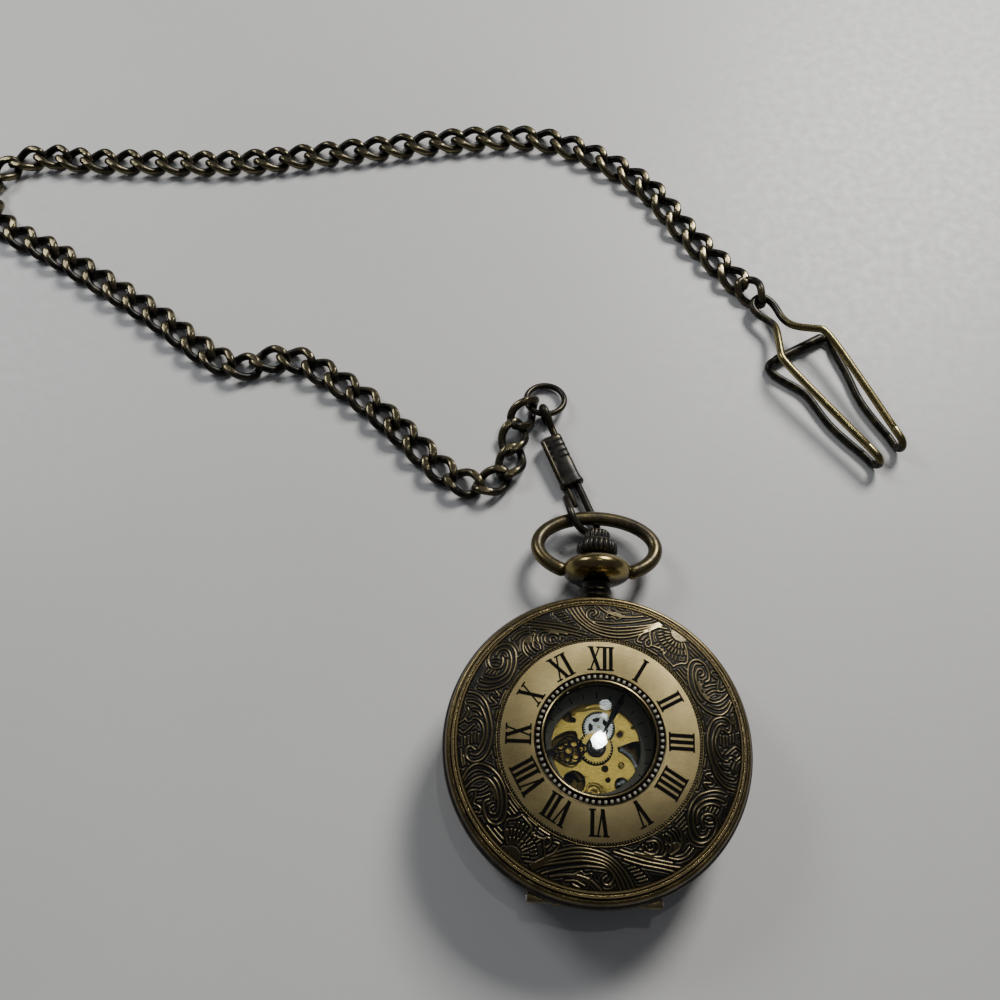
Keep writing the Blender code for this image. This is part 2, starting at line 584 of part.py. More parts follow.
def hands(looks, pivots):
    hour = hand(HOUR_HAND_ANGLE, 1.5, 1.08, 7.9, 2.0, 8.75, 8.92)
    piece("hour_hand", hour, looks["blued"], pivots["hour_wheel"])
    minute = hand(MINUTE_HAND_ANGLE, 1.1, 0.62, 11.6, 0.55, 9.15, 9.3)
    piece("minute_hand", minute, looks["blued"], pivots["centre_wheel"])


def movement(looks, pivots):
    plates(looks)
    bridges(looks)
    going_train(looks, pivots)
    escapement(looks, pivots)
    winding_train(looks, pivots)
    motion_work(looks, pivots)
    hands(looks, pivots)


# ---------------------------------------------------------------- chain, clasp and clip

def shaft_point(along, left=0.0, up=0.0):
    """Place on the clasp, measured along its shaft from the eye, to its left and above it."""
    x = EYE[0] + along * math.cos(SHAFT_ANGLE) + left * math.sin(SHAFT_ANGLE)
    y = EYE[1] + along * math.sin(SHAFT_ANGLE) - left * math.cos(SHAFT_ANGLE)
    return (x, y, 2.1 + SHAFT_SLOPE * along + up)


def clasp(looks, swing, slide):
    eye = [shaft_point(along, 0, up) for along, up in
           ((0.0, -1.15), (-1.0, -1.42), (-2.0, -1.0), (-2.45, 0), (-2.0, 1.0), (-1.0, 1.42), (0.3, 1.1),
            (1.5, 0.35), (3.0, 0))]
    hook = [(-0.3, 41.3, 0.9), (0.35, 39.6, 0.75), (0.3, 38.5, 1.05), (-0.5, 37.9, 1.8), (-1.7, 37.8, 2.9),
            (-2.9, 38.3, 3.9), (-3.9, 39.4, 4.6), (-4.5, 40.8, 4.75), (-4.9, 42.3, 4.1), (-5.3, 44.0, 2.9)]
    shaft = [shaft_point(along) for along in (14.0, 18.0)]
    piece("clasp_hook", wire(eye + shaft + hook, HOOK_WIRE, 1), looks["dark"], swing)
    start, end = SLEEVE_SPAN
    corners = [(0.95, -0.6), (0.95, 0.6), (0.5, 1.1), (-2.4, 1.1), (-2.9, 0.6), (-2.9, -0.6), (-2.4, -1.1),
               (0.5, -1.1)]
    body = loft([[shaft_point(along, -across, up) for across, up in corners] for along in (start, end)])
    bore = wire([shaft_point(start - 2), shaft_point(end + 2)], 0.75, 2)
    pin = wire([shaft_point(end - 2, 2.0), shaft_point(end + 3.6, 2.0)], 0.45, 1)
    piece("clasp_sleeve", fuse([cut(body, [bore]), pin]), looks["dark"], slide)


def loft(sections):
    """Closed solid through equal-sized sections."""
    bm = bmesh.new()
    rows = [[bm.verts.new(point) for point in section] for section in sections]
    for a, b in zip(rows, rows[1:]):
        for i in range(len(a)):
            j = (i + 1) % len(a)
            bm.faces.new((a[i], a[j], b[j], b[i]))
    bm.faces.new(list(reversed(rows[0])))
    bm.faces.new(rows[-1])
    bmesh.ops.recalc_face_normals(bm, faces=bm.faces)
    return bm


def chain_ring(looks, turn):
    points = []
    for i in range(12):
        x, y = on_circle((0, 0), RING_R, 2 * math.pi * i / 12)
        points.append((x, y, 0))
    loop = wire(points, RING_WIRE, 1, closed=True)
    loop.transform(Matrix.Translation(RING_CENTRE) @ Matrix.Rotation(RING_TILT, 4, "X"))
    piece("chain_ring", loop, looks["dark"], turn)


def smooth_path(waypoints, per_span=24):
    """Points of a Catmull-Rom curve through the waypoints."""
    ends = [waypoints[0], *waypoints, waypoints[-1]]
    points = []
    for p0, p1, p2, p3 in zip(ends, ends[1:], ends[2:], ends[3:]):
        for i in range(per_span):
            t = i / per_span
            points.append(tuple(0.5 * (2 * b + (c - a) * t + (2 * a - 5 * b + 4 * c - d) * t * t
                                       + (3 * b - a - 3 * c + d) * t ** 3)
                                for a, b, c, d in zip(p0, p1, p2, p3)))
    points.append(tuple(waypoints[-1]))
    return [Vector(point) for point in points]


def chain_links():
    """Centres of the links at equal steps along the path, with a shorter step at each joint."""
    path = smooth_path(CHAIN_PATH)
    run = [0.0]
    for a, b in zip(path, path[1:]):
        run.append(run[-1] + (b - a).length)
    joints = (LINKS - 1) // LINKS_PER_SEGMENT
    pitch = (run[-1] + joints * JOINT_SLACK) / (LINKS - 1)
    centres = []
    for index in range(LINKS):
        along = min(index * pitch - (index // LINKS_PER_SEGMENT) * JOINT_SLACK, run[-1])
        k = next((k for k in range(len(run) - 1) if run[k + 1] >= along), len(run) - 2)
        share = (along - run[k]) / (run[k + 1] - run[k])
        centres.append(path[k].lerp(path[k + 1], share))
    return centres


def smooth_wire(waypoints):
    """A bent wire's path, with rounded corners."""
    return [tuple(point) for point in smooth_path(waypoints, 2)]


def link_headings(centres):
    """Each link points from the one behind it to the one ahead; the ends point at the ring and the clip."""
    line = [Vector(RING_CENTRE[:2]), *centres, Vector(CLIP_LOOP)]
    return [math.atan2(ahead.y - behind.y, ahead.x - behind.x) for behind, ahead in zip(line, line[2:])]


def link_solid(centre, heading, height, roll):
    """One curb link: an oval wire whose ends are twisted either way."""
    points = []
    for i in range(LINK_POINTS):
        t = 2 * math.pi * i / LINK_POINTS
        twist = LINK_TWIST * math.cos(t)
        points.append((LINK_A * math.cos(t), LINK_B * math.sin(t) * math.cos(twist),
                       LINK_B * math.sin(t) * math.sin(twist)))
    loop = wire(points, LINK_WIRE, 0, closed=True)
    lie = Matrix.Rotation(heading, 4, "Z") @ Matrix.Rotation(roll, 4, "X")
    loop.transform(Matrix.Translation((centre.x, centre.y, height)) @ lie)
    return loop


def chain(looks, ring_turn):
    centres = chain_links()
    headings = link_headings(centres)
    parent = ring_turn
    for number, first in enumerate(range(0, len(centres), LINKS_PER_SEGMENT), 1):
        group = range(first, min(first + LINKS_PER_SEGMENT, len(centres)))
        if first == 0:
            inward = (Vector(RING_CENTRE[:2]) - centres[0]).normalized()
            joint = Vector(RING_CENTRE[:2]) - inward * RING_R
        else:
            joint = (centres[first - 1] + centres[first]) / 2
        parent = pivot(f"chain_joint_{number:02d}", (joint.x, joint.y, CHAIN_Z), parent)
        links = []
        for i in group:
            end = {0: -1, LINKS - 1: 1}.get(i, 0)
            height = END_LINK_Z if end else CHAIN_Z
            links.append(link_solid(centres[i], headings[i], height, end * END_LINK_ROLL))
        piece(f"chain_{number:02d}", fuse(links), looks["dark"], parent)
    return parent


def hairpin(base, heading, start, end):
    """Points round the bend where an upper arm of the clip turns back under itself."""
    points = []
    for i in range(HAIRPIN_POINTS):
        turn = start + (end - start) * i / (HAIRPIN_POINTS - 1)
        x, y = on_circle(base, HAIRPIN_R * math.cos(turn), heading)
        points.append((x, y, HAIRPIN_Z + HAIRPIN_R * math.sin(turn)))
    return points


def vest_clip(looks, turn, jaw_turn):
    top = math.radians(90)
    left, right = [hairpin(base, heading, HAIRPIN_SPLIT, top) for base, heading in HAIRPINS]
    path = left + smooth_wire(CLIP_UPPER) + list(reversed(right))
    piece("clip_wire", wire(path, CLIP_WIRE, 0), looks["antique"], turn)
    arms = []
    for (base, heading), run in zip(HAIRPINS, CLIP_LOWER):
        arms.append(wire(hairpin(base, heading, -HAIRPIN_SPLIT, -top) + smooth_wire(run), CLIP_WIRE, 0))
    ends = [Vector(run[-1]) for run in CLIP_LOWER]
    across = (ends[1] - ends[0]).normalized()
    tube = wire([ends[0] - across * 0.9, ends[1] + across * 0.9], TUBE_R, 1)
    piece("clip_jaw", fuse([tube, *arms]), looks["dark"], jaw_turn)


def build():
    clear_scene()
    looks = make_looks()
    case_middle(looks)
    front_cover(looks, pivot("front_cover_hinge", (0, HINGE_Y, FRONT_HINGE_Z)))
    back_cover(looks, pivot("back_cover_hinge", (0, HINGE_Y, BACK_HINGE_Z)))
    case_glass(looks)
    hinge_pins(looks)
    case_springs(looks, pivot("catch_slide", (0, 19.85, SPRING_Z[0])))
    pendant(looks)
    sleeve_slide = pivot("stem_slide", (0, BULB_Y, STEM_Z))
    crown_turn = pivot("crown_turn", (0, CROWN_BASE, STEM_Z), sleeve_slide)
    button_slide = pivot("button_slide", (0, CROWN_TOP, STEM_Z), crown_turn)
    winding_parts(looks, sleeve_slide, crown_turn, button_slide)
    places = {"barrel": BARREL, "ratchet": BARREL, "centre_wheel": CENTRE, "third_wheel": THIRD,
              "fourth_wheel": FOURTH, "escape_wheel": ESCAPE, "pallet_fork": PALLET, "balance_wheel": BALANCE,
              "crown_wheel": CROWN_WHEEL, "click": CLICK, "hour_wheel": CENTRE, "minute_wheel": MINUTE_WHEEL}
    pivots = {name: pivot(f"{name}_axis", (*place, STEM_Z)) for name, place in places.items()}
    movement(looks, pivots)
    bow_hinge = pivot("bow_hinge", (0, BULB_Y, STEM_Z))
    bow(looks, bow_hinge)
    swing = pivot("clasp_swing", (0, 40.52, 2.83), bow_hinge)
    clasp(looks, swing, pivot("sleeve_slide", shaft_point(SLEEVE_SPAN[0]), swing))
    ring_turn = pivot("ring_turn", shaft_point(-1.03), swing)
    chain_ring(looks, ring_turn)
    chain_end = chain(looks, ring_turn)
    clip_turn = pivot("clip_turn", (30.9, 88.5, 2.2), chain_end)
    vest_clip(looks, clip_turn, pivot("jaw_hinge", (52.6, 55.55, HAIRPIN_Z), clip_turn))


build()
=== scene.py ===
import math
import random

import bmesh
import bpy
import numpy as np
from mathutils import Matrix, Vector


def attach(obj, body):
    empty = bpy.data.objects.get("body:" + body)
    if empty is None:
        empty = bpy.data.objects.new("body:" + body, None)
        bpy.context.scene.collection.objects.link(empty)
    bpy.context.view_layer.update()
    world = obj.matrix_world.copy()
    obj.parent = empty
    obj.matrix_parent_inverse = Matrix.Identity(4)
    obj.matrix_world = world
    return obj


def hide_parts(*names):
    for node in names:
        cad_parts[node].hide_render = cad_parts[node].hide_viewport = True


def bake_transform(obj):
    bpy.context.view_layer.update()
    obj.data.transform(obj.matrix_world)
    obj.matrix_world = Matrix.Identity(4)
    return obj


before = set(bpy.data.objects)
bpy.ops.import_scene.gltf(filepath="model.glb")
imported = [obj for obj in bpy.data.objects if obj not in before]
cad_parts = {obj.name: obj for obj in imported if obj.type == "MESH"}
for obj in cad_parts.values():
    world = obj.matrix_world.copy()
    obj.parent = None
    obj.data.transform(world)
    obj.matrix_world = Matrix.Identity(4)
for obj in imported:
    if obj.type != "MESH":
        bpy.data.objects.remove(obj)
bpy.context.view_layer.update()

# Lengths are in millimetres until a mesh is written. The frame is the CAD's: +Z out of the dial, +Y to 12.
MM = 0.001
SHARP = math.radians(38)
TURN = 2 * math.pi
AROUND = 160
CORNER_STEPS = 3


# ---------------------------------------------------------------- mesh tools

def revolve(profile, steps=AROUND, axis="Z", centre=(0, 0, 0), span=None):
    """Vertices and faces of a closed (radius, height) outline turned about an axis."""
    start, end = (0, TURN) if span is None else span
    rows = steps if span is None else steps + 1
    turns = start + (end - start) * np.arange(rows) / steps
    outline = np.array(profile, float)
    count = len(outline)
    x = outline[None, :, 0] * np.cos(turns)[:, None]
    y = outline[None, :, 0] * np.sin(turns)[:, None]
    z = np.broadcast_to(outline[None, :, 1], x.shape)
    verts = np.stack([x, y, z], -1).reshape(-1, 3)
    verts = {"Z": verts, "Y": verts[:, [1, 2, 0]], "X": verts[:, [2, 0, 1]]}[axis] + np.array(centre)
    faces = []
    for i in range(steps):
        j = (i + 1) % rows
        for k in range(count):
            m = (k + 1) % count
            faces.append((i * count + k, j * count + k, j * count + m, i * count + m))
    if span is not None:
        faces.append(tuple(range(count)))
        faces.append(tuple(reversed(range(steps * count, (steps + 1) * count))))
    return verts, faces


def rounded(profile, radius):
    """The closed outline with its corners rounded."""
    points = [Vector(p) for p in profile]
    result = []
    for i, corner in enumerate(points):
        before, after = points[i - 1], points[(i + 1) % len(points)]
        if corner.x < 1e-6:
            result.append(tuple(corner))
            continue
        near = min(radius, (before - corner).length * 0.4, (after - corner).length * 0.4)
        a = corner + (before - corner).normalized() * near
        b = corner + (after - corner).normalized() * near
        for k in range(CORNER_STEPS + 1):
            t = k / CORNER_STEPS
            result.append(tuple(a * (1 - t) ** 2 + corner * 2 * t * (1 - t) + b * t * t))
    return result


def hoop(inner, outer, low, high, corner=0.0, steps=AROUND, axis="Z", centre=(0, 0, 0)):
    """Turned solid of rectangular section, its corners rounded where asked. Inner radius 0 makes a disc."""
    section = oblong(inner, outer, low, high)
    return revolve(rounded(section, corner) if corner else section, steps, axis, centre)


def oblong(x0, x1, y0, y1):
    return (x0, y0), (x1, y0), (x1, y1), (x0, y1)


def strip(start, end, side):
    """Outline of a straight bar between two points, reaching side to each side."""
    return [tuple(corner) for corner in (start - side, end - side, end + side, start + side)]


def wrapped_faces(rows, columns):
    """Faces of a grid of points that closes both along and around."""
    index = np.arange(rows * columns).reshape(rows, columns)
    below = np.roll(index, -1, 0)
    return np.stack([index, below, np.roll(below, -1, 1), np.roll(index, -1, 1)], -1).reshape(-1, 4).tolist()


def smooth_path(waypoints, per_span=24):
    """Points of a Catmull-Rom curve through the waypoints."""
    ends = [waypoints[0], *waypoints, waypoints[-1]]
    points = []
    for p0, p1, p2, p3 in zip(ends, ends[1:], ends[2:], ends[3:]):
        for i in range(per_span):
            t = i / per_span
            points.append(tuple(0.5 * (2 * b + (c - a) * t + (2 * a - 5 * b + 4 * c - d) * t * t
                                       + (3 * b - a - 3 * c + d) * t ** 3)
                                for a, b, c, d in zip(p0, p1, p2, p3)))
    points.append(tuple(waypoints[-1]))
    return [Vector(point) for point in points]


def eased(points, passes=4):
    """The path with its corners rounded off; its ends stay where they are."""
    path = np.array([tuple(p) for p in points], float)
    for _ in range(passes):
        path[1:-1] = 0.25 * path[:-2] + 0.5 * path[1:-1] + 0.25 * path[2:]
    return path


def tube(points, radius, sides=14, closed=False, squash=1.0):
    """Round wire along a path. Its ends are domed. radius may be a list, one for each point."""
    path = np.array([tuple(p) for p in points], float)
    radii = np.full(len(path), radius) if np.isscalar(radius) else np.array(radius, float)
    if closed:
        tangents = np.roll(path, -1, 0) - np.roll(path, 1, 0)
    else:
        first = path[0] - path[1]
        last = path[-1] - path[-2]
        dome = np.sin(np.linspace(0.15, math.pi / 2, 4))[:-1]
        out = np.cos(np.linspace(0.15, math.pi / 2, 4))[:-1]
        first *= radii[0] / np.linalg.norm(first)
        last *= radii[-1] / np.linalg.norm(last)
        path = np.vstack([path[0] + first * out[:, None], path, path[-1] + last * out[::-1, None]])
        radii = np.concatenate([radii[0] * dome, radii, radii[-1] * dome[::-1]])
        tangents = np.gradient(path, axis=0)
    tangents /= np.linalg.norm(tangents, axis=1)[:, None]
    side = np.cross(tangents[0], (0, 0, 1.0))
    if np.linalg.norm(side) < 0.1:
        side = np.cross(tangents[0], (0, 1.0, 0))
    sides_of = []
    for tangent in tangents:
        side = side - tangent * np.dot(side, tangent)
        side /= np.linalg.norm(side)
        sides_of.append(side)
    across = np.array(sides_of)
    up = np.cross(across, tangents)
    turns = TURN * np.arange(sides) / sides
    ringed = across[:, None] * np.cos(turns)[:, None] + squash * up[:, None] * np.sin(turns)[:, None]
    verts = (path[:, None] + ringed * radii[:, None, None]).reshape(-1, 3)
    rows = len(path)
    faces = []
    for i in range(rows if closed else rows - 1):
        j = (i + 1) % rows
        for k in range(sides):
            m = (k + 1) % sides
            faces.append((i * sides + k, i * sides + m, j * sides + m, j * sides + k))
    if not closed:
        faces.append(tuple(range(sides)))
        faces.append(tuple(reversed(range((rows - 1) * sides, rows * sides))))
    return verts, faces


def plate(outline, low, high, bevel=0.0):
    """Flat solid over an outline of (x, y) points."""
    bm = bmesh.new()
    face = bm.faces.new([bm.verts.new((x, y, low)) for x, y in outline])
    raised = bmesh.ops.extrude_face_region(bm, geom=[face])["geom"]
    lifted = [v for v in raised if isinstance(v, bmesh.types.BMVert)]
    bmesh.ops.translate(bm, verts=lifted, vec=(0, 0, high - low))
    if bevel:
        top = [e for e in bm.edges if all(abs(v.co.z - high) < 1e-6 for v in e.verts)]
        bmesh.ops.bevel(bm, geom=top, offset=bevel, segments=2, affect="EDGES", profile=0.5)
    return from_bmesh(bm)


def from_bmesh(bm):
    bmesh.ops.recalc_face_normals(bm, faces=bm.faces)
    bm.verts.index_update()
    made = np.array([v.co for v in bm.verts]), [tuple(v.index for v in f.verts) for f in bm.faces]
    bm.free()
    return made


def joined(solids):
    verts, faces, base = [], [], 0
    for points, polygons in solids:
        verts.append(np.array(points, float))
        faces += [tuple(i + base for i in polygon) for polygon in polygons]
        base += len(points)
    return np.vstack(verts), faces


def moved(solid, matrix):
    points = np.c_[solid[0], np.ones(len(solid[0]))] @ np.array(matrix).T
    return points[:, :3], solid[1]


def spot(radius, angle, centre=(0, 0)):
    return (centre[0] + radius * math.cos(angle), centre[1] + radius * math.sin(angle))


def show(name, solid, material, body, replaced=(), relief=None, sharp=SHARP):
    """Write one visible piece in the CAD's frame, riding on one of its bodies."""
    mesh = bpy.data.meshes.new(name)
    mesh.from_pydata((np.array(solid[0]) * MM).tolist(), [], solid[1])
    if relief is not None:
        layer = mesh.attributes.new("relief", "FLOAT", "POINT")
        layer.data.foreach_set("value", np.array(relief, np.float32))
    bm = bmesh.new()
    bm.from_mesh(mesh)
    bmesh.ops.remove_doubles(bm, verts=bm.verts, dist=1e-7)
    bmesh.ops.recalc_face_normals(bm, faces=bm.faces)
    bm.to_mesh(mesh)
    bm.free()
    mesh.shade_smooth()
    mesh.set_sharp_from_angle(angle=sharp)
    mesh.materials.append(material)
    obj = bpy.data.objects.new(name, mesh)
    bpy.context.scene.collection.objects.link(obj)
    if body:
        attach(obj, body)
    if replaced:
        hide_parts(*replaced)
    return obj


# ---------------------------------------------------------------- looks

class Look:
    """A Principled material with short ways to add nodes."""

    def __init__(self, name):
        self.material = bpy.data.materials.new(name)
        self.material.use_nodes = True
        self.tree = self.material.node_tree
        self.shader = self.tree.nodes["Principled BSDF"]
        self.place = self.node("ShaderNodeTexCoord").outputs["Object"]

    def node(self, kind, **inputs):
        made = self.tree.nodes.new(kind)
        for key, value in inputs.items():
            self.feed(made.inputs[key.replace("_", " ")], value)
        return made

    def feed(self, socket, value):
        if isinstance(value, bpy.types.NodeSocket):
            self.tree.links.new(value, socket)
        else:
            socket.default_value = value

    def noise(self, per_mm, detail=3.0, stretch=None, turn=0.0):
        place = self.place
        if stretch:
            mapping = self.node("ShaderNodeMapping", Vector=place, Scale=stretch, Rotation=(0, 0, turn))
            place = mapping.outputs["Vector"]
        return self.node("ShaderNodeTexNoise", Vector=place, Scale=per_mm / MM, Detail=detail).outputs["Fac"]

    def math(self, operation, a, b=0.0, clamp=False):
        made = self.tree.nodes.new("ShaderNodeMath")
        made.operation = operation
        made.use_clamp = clamp
        self.feed(made.inputs[0], a)
        self.feed(made.inputs[1], b)
        return made.outputs[0]

    def remap(self, value, low, high, to_low=0.0, to_high=1.0):
        made = self.node("ShaderNodeMapRange", Value=value, From_Min=low, From_Max=high, To_Min=to_low,
                         To_Max=to_high)
        return made.outputs["Result"]

    def mix(self, factor, first, second):
        made = self.tree.nodes.new("ShaderNodeMix")
        made.data_type = "RGBA"
        colours = [socket for socket in made.inputs if socket.type == "RGBA"]
        self.feed(made.inputs[0], factor)
        self.feed(colours[0], first)
        self.feed(colours[1], second)
        return next(socket for socket in made.outputs if socket.type == "RGBA")

    def finish(self, colour, roughness, metallic=1.0, bumps=()):
        self.feed(self.shader.inputs["Base Color"], colour)
        self.feed(self.shader.inputs["Roughness"], roughness)
        self.feed(self.shader.inputs["Metallic"], metallic)
        normal = None
        for height, depth in bumps:
            bump = self.node("ShaderNodeBump", Height=height, Distance=depth * MM, Strength=1.0)
            if normal:
                self.feed(bump.inputs["Normal"], normal)
            normal = bump.outputs["Normal"]
        if normal:
            self.feed(self.shader.inputs["Normal"], normal)
        return self.material


def rgb(red, green, blue):
    return (red, green, blue, 1.0)


def antique(name, dark, bright, bias, rough=(0.42, 0.26), edges=(0.5, 0.56), painted_light_heights=None, attribute=None,
            brush=None):
    """Plated metal, dark in its recesses, rubbed bright on edges and marked places; painted lighter above a
    height, darker below.
    """
    look = Look(name)
    edge = look.remap(look.node("ShaderNodeNewGeometry").outputs["Pointiness"], *edges)
    patches = look.remap(look.noise(0.3, 4.0), 0.35, 0.68, -0.22, 0.22)
    speck = look.remap(look.noise(2.2, 3.0), 0.3, 0.7, -0.1, 0.1)
    wear_and_light = look.math("ADD", look.math("MULTIPLY", edge, 0.6), look.math("ADD", patches, speck))
    # Painted light and shade: lighter towards the top, darker towards the bottom.
    if painted_light_heights:
        split = look.node("ShaderNodeSeparateXYZ", Vector=look.place)
        high = look.remap(split.outputs["Z"], painted_light_heights[0] * MM, painted_light_heights[1] * MM, -0.7, 0.45)
        wear_and_light = look.math("ADD", wear_and_light, high)
    # Marked places add wear; on the chain they also add a painted highlight along one side of each link.
    if attribute:
        mark = look.tree.nodes.new("ShaderNodeAttribute")
        mark.attribute_name = attribute
        wear_and_light = look.math("ADD", wear_and_light, mark.outputs["Fac"])
    wear_and_light = look.math("ADD", wear_and_light, bias, clamp=True)
    colour = look.mix(wear_and_light, rgb(*dark), rgb(*bright))
    tint = look.remap(look.noise(0.7, 5.0), 0.45, 0.75)
    colour = look.mix(look.math("MULTIPLY", tint, 0.4), colour, rgb(*(c * 0.4 for c in bright)))
    fine = look.noise(5.0, 2.0, brush) if brush else look.noise(5.0, 2.0)
    roughness = look.math("ADD", look.remap(wear_and_light, 0, 1, *rough), look.remap(fine, 0.3, 0.7, -0.04, 0.06))
    look.feed(look.shader.inputs["Specular IOR Level"], look.remap(wear_and_light, 0.0, 0.5, 0.22, 0.5))
    bare = look.remap(wear_and_light, 0.02, 0.42, 0.25, 1.0)
    return look.finish(colour, roughness, bare, ((look.noise(0.8, 3.0), 0.005), (fine, 0.0012)))


def engraved():
    """Raised rubbed scrolls over a blackened ground, steered by the mesh's relief."""
    look = Look("engraved_brass")
    relief = look.tree.nodes.new("ShaderNodeAttribute")
    relief.attribute_name = "relief"
    grain = look.remap(look.noise(3.0, 3.0), 0.3, 0.7, -0.14, 0.14)
    high = look.remap(look.math("ADD", relief.outputs["Fac"], grain), 0.25, 0.95)
    patches = look.remap(look.noise(0.2, 3.0), 0.35, 0.7)
    brass = look.mix(patches, rgb(0.165, 0.132, 0.07), rgb(0.105, 0.082, 0.042))
    ground = look.mix(look.noise(1.6, 4.0), rgb(0.007, 0.007, 0.0068), rgb(0.02, 0.019, 0.017))
    colour = look.mix(high, ground, brass)
    fine = look.noise(6.0, 2.0)
    rough = look.math("ADD", look.remap(high, 0, 1, 0.46, 0.3), look.remap(fine, 0.3, 0.7, -0.05, 0.05))
    bare = look.remap(high, 0, 1, 0.85, 1.0)
    return look.finish(colour, rough, bare, ((fine, 0.003), (look.noise(2.0, 3.0), 0.006)))


def brushed(name, light, deep, stretch, turn, rough=0.3, depth=0.003, stain=0.35, swirl=0.0, metal=1.0):
    """Metal with long fine scratches in one direction and faint stains. swirl spreads its shine around +Z."""
    look = Look(name)
    if swirl:
        around = look.tree.nodes.new("ShaderNodeTangent")
        around.direction_type = "RADIAL"
        around.axis = "Z"
        look.feed(look.shader.inputs["Tangent"], around.outputs[0])
        look.shader.inputs["Anisotropic"].default_value = swirl
    lines = look.noise(6.0, 3.0, stretch, turn)
    broad = look.noise(1.3, 2.0, stretch, turn)
    clouds = look.remap(look.noise(0.16, 4.0), 0.4, 0.72)
    colour = look.mix(look.remap(lines, 0.3, 0.7), rgb(*light), rgb(*deep))
    colour = look.mix(look.math("MULTIPLY", clouds, stain), colour, rgb(*(c * 0.4 for c in deep)))
    roughness = look.math("ADD", look.remap(lines, 0.3, 0.7, rough - 0.07, rough + 0.1),
                          look.remap(broad, 0.3, 0.7, -0.03, 0.05))
    return look.finish(colour, roughness, metal, ((lines, depth), (broad, depth * 1.5)))


def enamel():
    look = Look("numeral_black")
    chips = look.remap(look.noise(5.0, 3.0), 0.7, 0.76)
    colour = look.mix(chips, rgb(0.003, 0.0026, 0.002), rgb(0.03, 0.025, 0.015))
    look.shader.inputs["Specular IOR Level"].default_value = 0.06
    rough = look.remap(look.noise(3.0), 0.3, 0.7, 0.5, 0.7)
    return look.finish(colour, rough, 0.0, ((look.noise(4.0), 0.01),))


def dial_paint():
    look = Look("dial_paint")
    colour = look.mix(look.noise(1.2, 4.0), rgb(0.68, 0.57, 0.41), rgb(0.84, 0.72, 0.54))
    rough = look.remap(look.noise(3.0), 0.3, 0.7, 0.38, 0.55)
    return look.finish(colour, rough, 0.0, ((look.noise(5.0), 0.004),))


def dial_marks():
    look = Look("dial_marks")
    colour = look.mix(look.noise(3.0, 3.0), rgb(0.02, 0.02, 0.02), rgb(0.008, 0.008, 0.008))
    return look.finish(colour, look.remap(look.noise(5.0), 0.3, 0.7, 0.35, 0.5), 0.0)


def jewel():
    look = Look("ruby")
    look.shader.inputs["Transmission Weight"].default_value = 0.5
    colour = look.mix(look.noise(2.0), rgb(0.45, 0.02, 0.05), rgb(0.2, 0.005, 0.02))
    return look.finish(colour, look.remap(look.noise(3.0), 0.3, 0.7, 0.05, 0.12), 0.0)


def crystal(name, low, high):
    """Clear crystal with faint smears, thin enough that light passes straight through it."""
    look = Look(name)
    smear = look.remap(look.noise(0.35, 4.0), 0.4, 0.7, low, high)
    gloss = look.tree.nodes.new("ShaderNodeBsdfGlossy")
    look.feed(gloss.inputs["Roughness"], smear)
    clear = look.tree.nodes.new("ShaderNodeBsdfTransparent")
    clear.inputs["Color"].default_value = (0.96, 0.975, 0.97, 1)
    edge = look.tree.nodes.new("ShaderNodeFresnel")
    edge.inputs["IOR"].default_value = 1.45
    blend = look.tree.nodes.new("ShaderNodeMixShader")
    look.feed(blend.inputs[0], look.math("MULTIPLY", edge.outputs[0], 0.8, clamp=True))
    look.feed(blend.inputs[1], clear.outputs[0])
    look.feed(blend.inputs[2], gloss.outputs[0])
    output = next(n for n in look.tree.nodes if n.type == "OUTPUT_MATERIAL")
    look.tree.links.new(blend.outputs[0], output.inputs["Surface"])
    return look.material


BRASS = antique("antique_case", (0.022, 0.018, 0.010), (0.27, 0.215, 0.105), 0.3, (0.36, 0.24))
# The rim is painted darker low on its wall and lighter towards its top edge, as shade and light.
RIM = antique("antique_rim", (0.014, 0.011, 0.007), (0.27, 0.205, 0.09), 0.16, (0.34, 0.24), (0.505, 0.55),
              painted_light_heights=(11.2, 14.0))
# The pendant bulb is painted lighter on its upper face and darker below, as highlight and shade.
PENDANT = antique("antique_pendant", (0.010, 0.008, 0.006), (0.36, 0.285, 0.12), 0.12, (0.3, 0.2),
                  painted_light_heights=(4.6, 8.4))
BOW = antique("antique_bow", (0.016, 0.013, 0.008), (0.24, 0.19, 0.085), 0.02, (0.32, 0.22))
BACK = antique("antique_back", (0.045, 0.036, 0.02), (0.3, 0.235, 0.12), 0.4, (0.4, 0.28), brush=(1, 14, 14))
BRONZE = antique("dark_metal", (0.006, 0.0055, 0.005), (0.13, 0.11, 0.065), -0.22, (0.32, 0.22))
# The chain's marks: filed faces rubbed bright, and a painted highlight along one side of each link.
CHAIN = antique("dark_chain", (0.006, 0.0055, 0.0045), (0.26, 0.22, 0.125), -0.16, (0.32, 0.22), (0.52, 0.62),
                attribute="relief")
# The clip's upper wire is painted lighter and its lower wires darker, as light and shade.
CLIP_BRASS_LIT_ABOVE = antique("clip_wire_brass", (0.008, 0.007, 0.005), (0.30, 0.25, 0.11), 0.0, (0.32, 0.22),
               painted_light_heights=(2.6, 4.3))
ENGRAVED = engraved()
SATIN = brushed("satin_numeral_ring", (0.60, 0.48, 0.235), (0.36, 0.285, 0.125), (1, 22, 1), math.radians(38),
                rough=0.3, depth=0.006, stain=0.5, swirl=0.45)
GILT = brushed("gilt_plate", (1.0, 0.70, 0.16), (0.66, 0.40, 0.05), (1, 14, 1), math.radians(4), 0.24,
               stain=0.5, metal=0.62)
